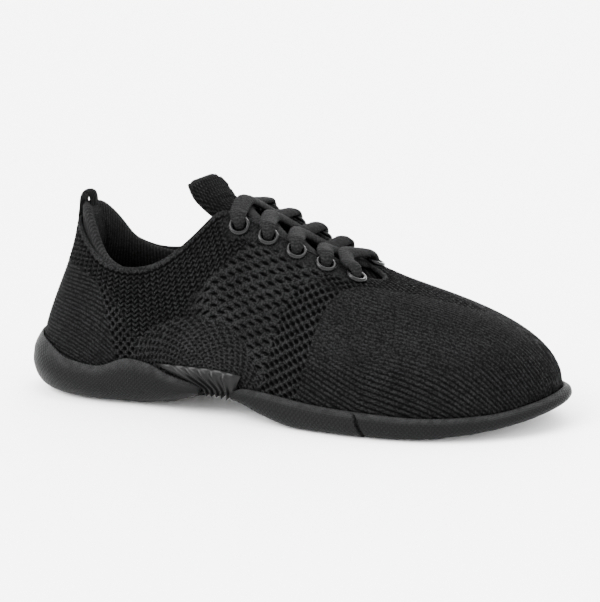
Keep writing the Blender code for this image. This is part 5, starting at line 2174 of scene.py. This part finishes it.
@dataclass
class Lacing:
    """The lace: a bar over the lowest eyelets and two crossing strands above each pair."""

    eyelets: Eyelets
    tongue: Tongue
    thickness: float = 3.0
    steps: int = 70
    sides: int = 28

    def edge_way(self, k: int) -> Array:
        """Direction from an eyelet up to the throat's edge."""
        _, u, t = self.eyelets.frames[k]
        return unit(FORM.rib_point([u], [1.0])[0] - FORM.rib_point([u], [t])[0])

    def out_way(self, k: int) -> Array:
        """Direction out of the knit at an eyelet."""
        return unit(self.eyelets.centre(k, 1.0) - self.eyelets.centre(k))

    def from_eyelet(self, k: int, lean: Array) -> list[tuple]:
        """Stops of a strand from inside an eyelet out over its rim.

        Args:
            k: Which eyelet.
            lean: How the strand leans off the shortest way to the throat's edge.

        Returns:
            A point, a facing and a half width for each stop.
        """
        out, way = self.out_way(k), unit(self.edge_way(k) + lean)
        centre = self.eyelets.centre(k)
        return [
            (centre - out * 3.2 - way * 0.6, -way, 1.9),
            (centre - out * 0.6 - way * 0.2, -way, 2.1),
            (centre + out * 1.9 + way * 0.9, unit(out - way), 2.6),
            (centre + out * 3.3 + way * 3.6, unit(out * 2 - way * 0.4), 3.4),
            (centre + out * 2.9 + way * 7.2, out, 3.8),
        ]

    def strand(self, name: str, upper: int, lower: int, over: bool, node: str) -> None:
        """One strand of a crossing, from its upper eyelet over the tongue to under the far edge.

        Args:
            name: Name of the piece.
            upper: The eyelet it comes out of.
            lower: The eyelet it goes towards.
            over: It lies on top of the crossing.
            node: The CAD node that it stands for.
        """
        xs = [float(FORM.rib_point([self.eyelets.frames[k][1]], [1.0])[0, 0]) for k in (upper, lower)]
        lift = self.thickness / 2 + 0.5
        end_column, deep_column = (4, 2) if lower < self.eyelets.a_side else (8, 10)
        lean = unit(self.eyelets.centre(lower) - self.eyelets.centre(upper)) * 0.55
        stops = self.from_eyelet(upper, lean)
        crossing, out_cross = self.tongue.middle(0.5 * sum(xs), lift + (2.7 if over else 0.0))
        far, out_far = self.tongue.middle(xs[1] + 1.0, lift + 0.3, end_column)
        hidden, out_hidden = self.tongue.middle(xs[1] + 1.5, 1.2, deep_column)
        stops += [(crossing, out_cross, 3.9), (far, out_far, 3.8), (hidden, out_hidden, 3.4)]
        self.lay(name, stops, node)

    def bar(self) -> None:
        """The straight bar across the lowest eyelets."""
        n = self.eyelets.a_side
        middle, out = self.tongue.middle(self.eyelets.first_x, self.thickness * 1.5 + 1.6)
        none = np.zeros(3)
        left, right = self.from_eyelet(0, none), self.from_eyelet(n, none)
        self.lay("lace_bar_cord", left + [(middle, out, 3.9)] + right[::-1], "lace_bar")

    def lay(self, name: str, stops: list[tuple], node: str) -> None:
        """Sweeps the cord along its stops and adds it.

        Args:
            name: Name of the piece.
            stops: A point, a facing and a half width for each stop.
            node: The CAD node that it stands for.
        """
        path = even_path([np.concatenate([p, n, [w]]) for p, n, w in stops], self.steps)
        line, facing, half = path[:, :3], unit(path[:, 3:6]), path[:, 6]
        thick = np.interp(half, (1.9, 3.9), (1.75, self.thickness / 2))
        uneven = 1.0 + 0.035 * np.cos(np.arange(self.steps) * 1.9)
        mesh = ring_mesh(name, tube_rings(line, facing, half * uneven, thick * uneven, self.sides))
        set_uv(mesh, ring_uv(run_length(line), self.sides, 20.0))
        add_piece(mesh, CORD.material(), "lace", node)

    def build(self) -> None:
        """Laces the shoe from the toe end up."""
        n = self.eyelets.a_side
        self.bar()
        for k in range(n - 1):
            node = f"lace_crossing_{k + 1}"
            self.strand(f"lace_under_{k + 1}", n + k + 1, k, False, node)
            self.strand(f"lace_over_{k + 1}", k + 1, n + k, True, node)


# Studio


@dataclass
class Studio:
    """A plain pale floor, soft lights and the camera."""

    azimuth: float = 18.0
    elevation: float = 13.0
    lens: float = 90.0
    sensor: float = 36.0
    frame_width: float = 0.268
    aim: tuple[float, float, float] = (0.0045, 0.0, 0.047)
    paper: tuple[float, float, float] = (0.97, 0.97, 0.97)
    reach: float = 150.0

    def build(self) -> None:
        """Lays the floor, hangs the lights and sets the camera."""
        self.floor()
        self.light("key", (-0.60, -0.70, 0.95), 40.0, 9.0)
        self.light("fill", (0.90, -0.60, 0.50), 60.0, 1.5)
        self.light("top", (0.10, 0.25, 1.05), 50.0, 4.0)
        self.light("rim", (-0.20, 0.95, 0.45), 40.0, 2.0)
        world = bpy.data.worlds.new("studio_air")
        world.use_nodes = True
        back = world.node_tree.nodes["Background"]
        back.inputs["Color"].default_value = (1.0, 1.0, 1.0, 1.0)
        back.inputs["Strength"].default_value = 3.8
        bpy.context.scene.world = world
        self.camera()

    def floor(self) -> None:
        """A wide flat sheet of paper, turned up far off so that low views see no edge of it."""
        corners = ((-1, -1), (1, -1), (1, 1), (-1, 1))
        sizes = ((self.reach, 0.0), (1.5 * self.reach, 0.06 * self.reach))
        points = [(x * size, y * size, rise) for size, rise in sizes for x, y in corners]
        rim = [(i, i + 4, (i + 1) % 4 + 4, (i + 1) % 4) for i in range(4)]
        mesh = bpy.data.meshes.new("floor")
        mesh.from_pydata(points, [], [(0, 1, 2, 3), *rim])
        made = bpy.data.materials.new("paper")
        made.use_nodes = True
        shader = made.node_tree.nodes["Principled BSDF"]
        shader.inputs["Base Color"].default_value = (*self.paper, 1.0)
        shader.inputs["Roughness"].default_value = 0.75
        mesh.materials.append(made)
        floor = bpy.data.objects.new("floor", mesh)
        bpy.context.scene.collection.objects.link(floor)

    def light(self, name: str, place: tuple, spread: float, power: float) -> None:
        """A broad soft light, far off, that shines from a place towards the shoe.

        Args:
            name: Name of the light.
            place: A point that it shines through.
            spread: How wide it looks from the shoe, in degrees.
            power: Its strength.
        """
        lamp = bpy.data.lights.new(name, "SUN")
        lamp.angle = math.radians(spread)
        lamp.energy = power
        obj = bpy.data.objects.new(name, lamp)
        obj.location = place
        obj.rotation_euler = (Vector(self.aim) - Vector(place)).to_track_quat("-Z", "Y").to_euler()
        bpy.context.scene.collection.objects.link(obj)

    def camera(self) -> None:
        """The camera, at the photo's angle to the shoe's forefoot."""
        lens = bpy.data.cameras.new("camera")
        lens.lens = self.lens
        lens.sensor_width = self.sensor
        a, e = math.radians(self.azimuth), math.radians(self.elevation)
        back = Vector((math.sin(a) * math.cos(e), -math.cos(a) * math.cos(e), math.sin(e)))
        distance = self.frame_width * self.lens / self.sensor
        lens.clip_start, lens.clip_end = 0.01, 4.0 * self.reach
        camera = bpy.data.objects.new("camera", lens)
        camera.location = Vector(self.aim) + back * distance
        camera.rotation_euler = (-back).to_track_quat("-Z", "Y").to_euler()
        bpy.context.scene.collection.objects.link(camera)
        bpy.context.scene.camera = camera


def main() -> None:
    """Builds the shoe's sub-assemblies in order, then the studio round it."""
    logging.basicConfig(level=logging.INFO, format="%(name)s: %(message)s")
    eyelets, tongue, tread = Eyelets(), Tongue(), HeelTread()
    KnitUpper().build(eyelets)
    SoleUnit("heel_sole", 4.51, 95.0, HEEL_WALL, HEEL_SIDE, recess=tread).build()
    SoleUnit("forefoot_sole", 111.0, 245.49, FOREFOOT_WALL, FOREFOOT_SIDE, FLEX_GROOVES).build()
    tread.build()
    ArchSleeve().build()
    Insole().build()
    tongue.build()
    CollarPad().build()
    HeelLoop().build()
    eyelets.build()
    Lacing(eyelets, tongue).build()
    Studio().build()


if __name__ == "__main__":
    main()
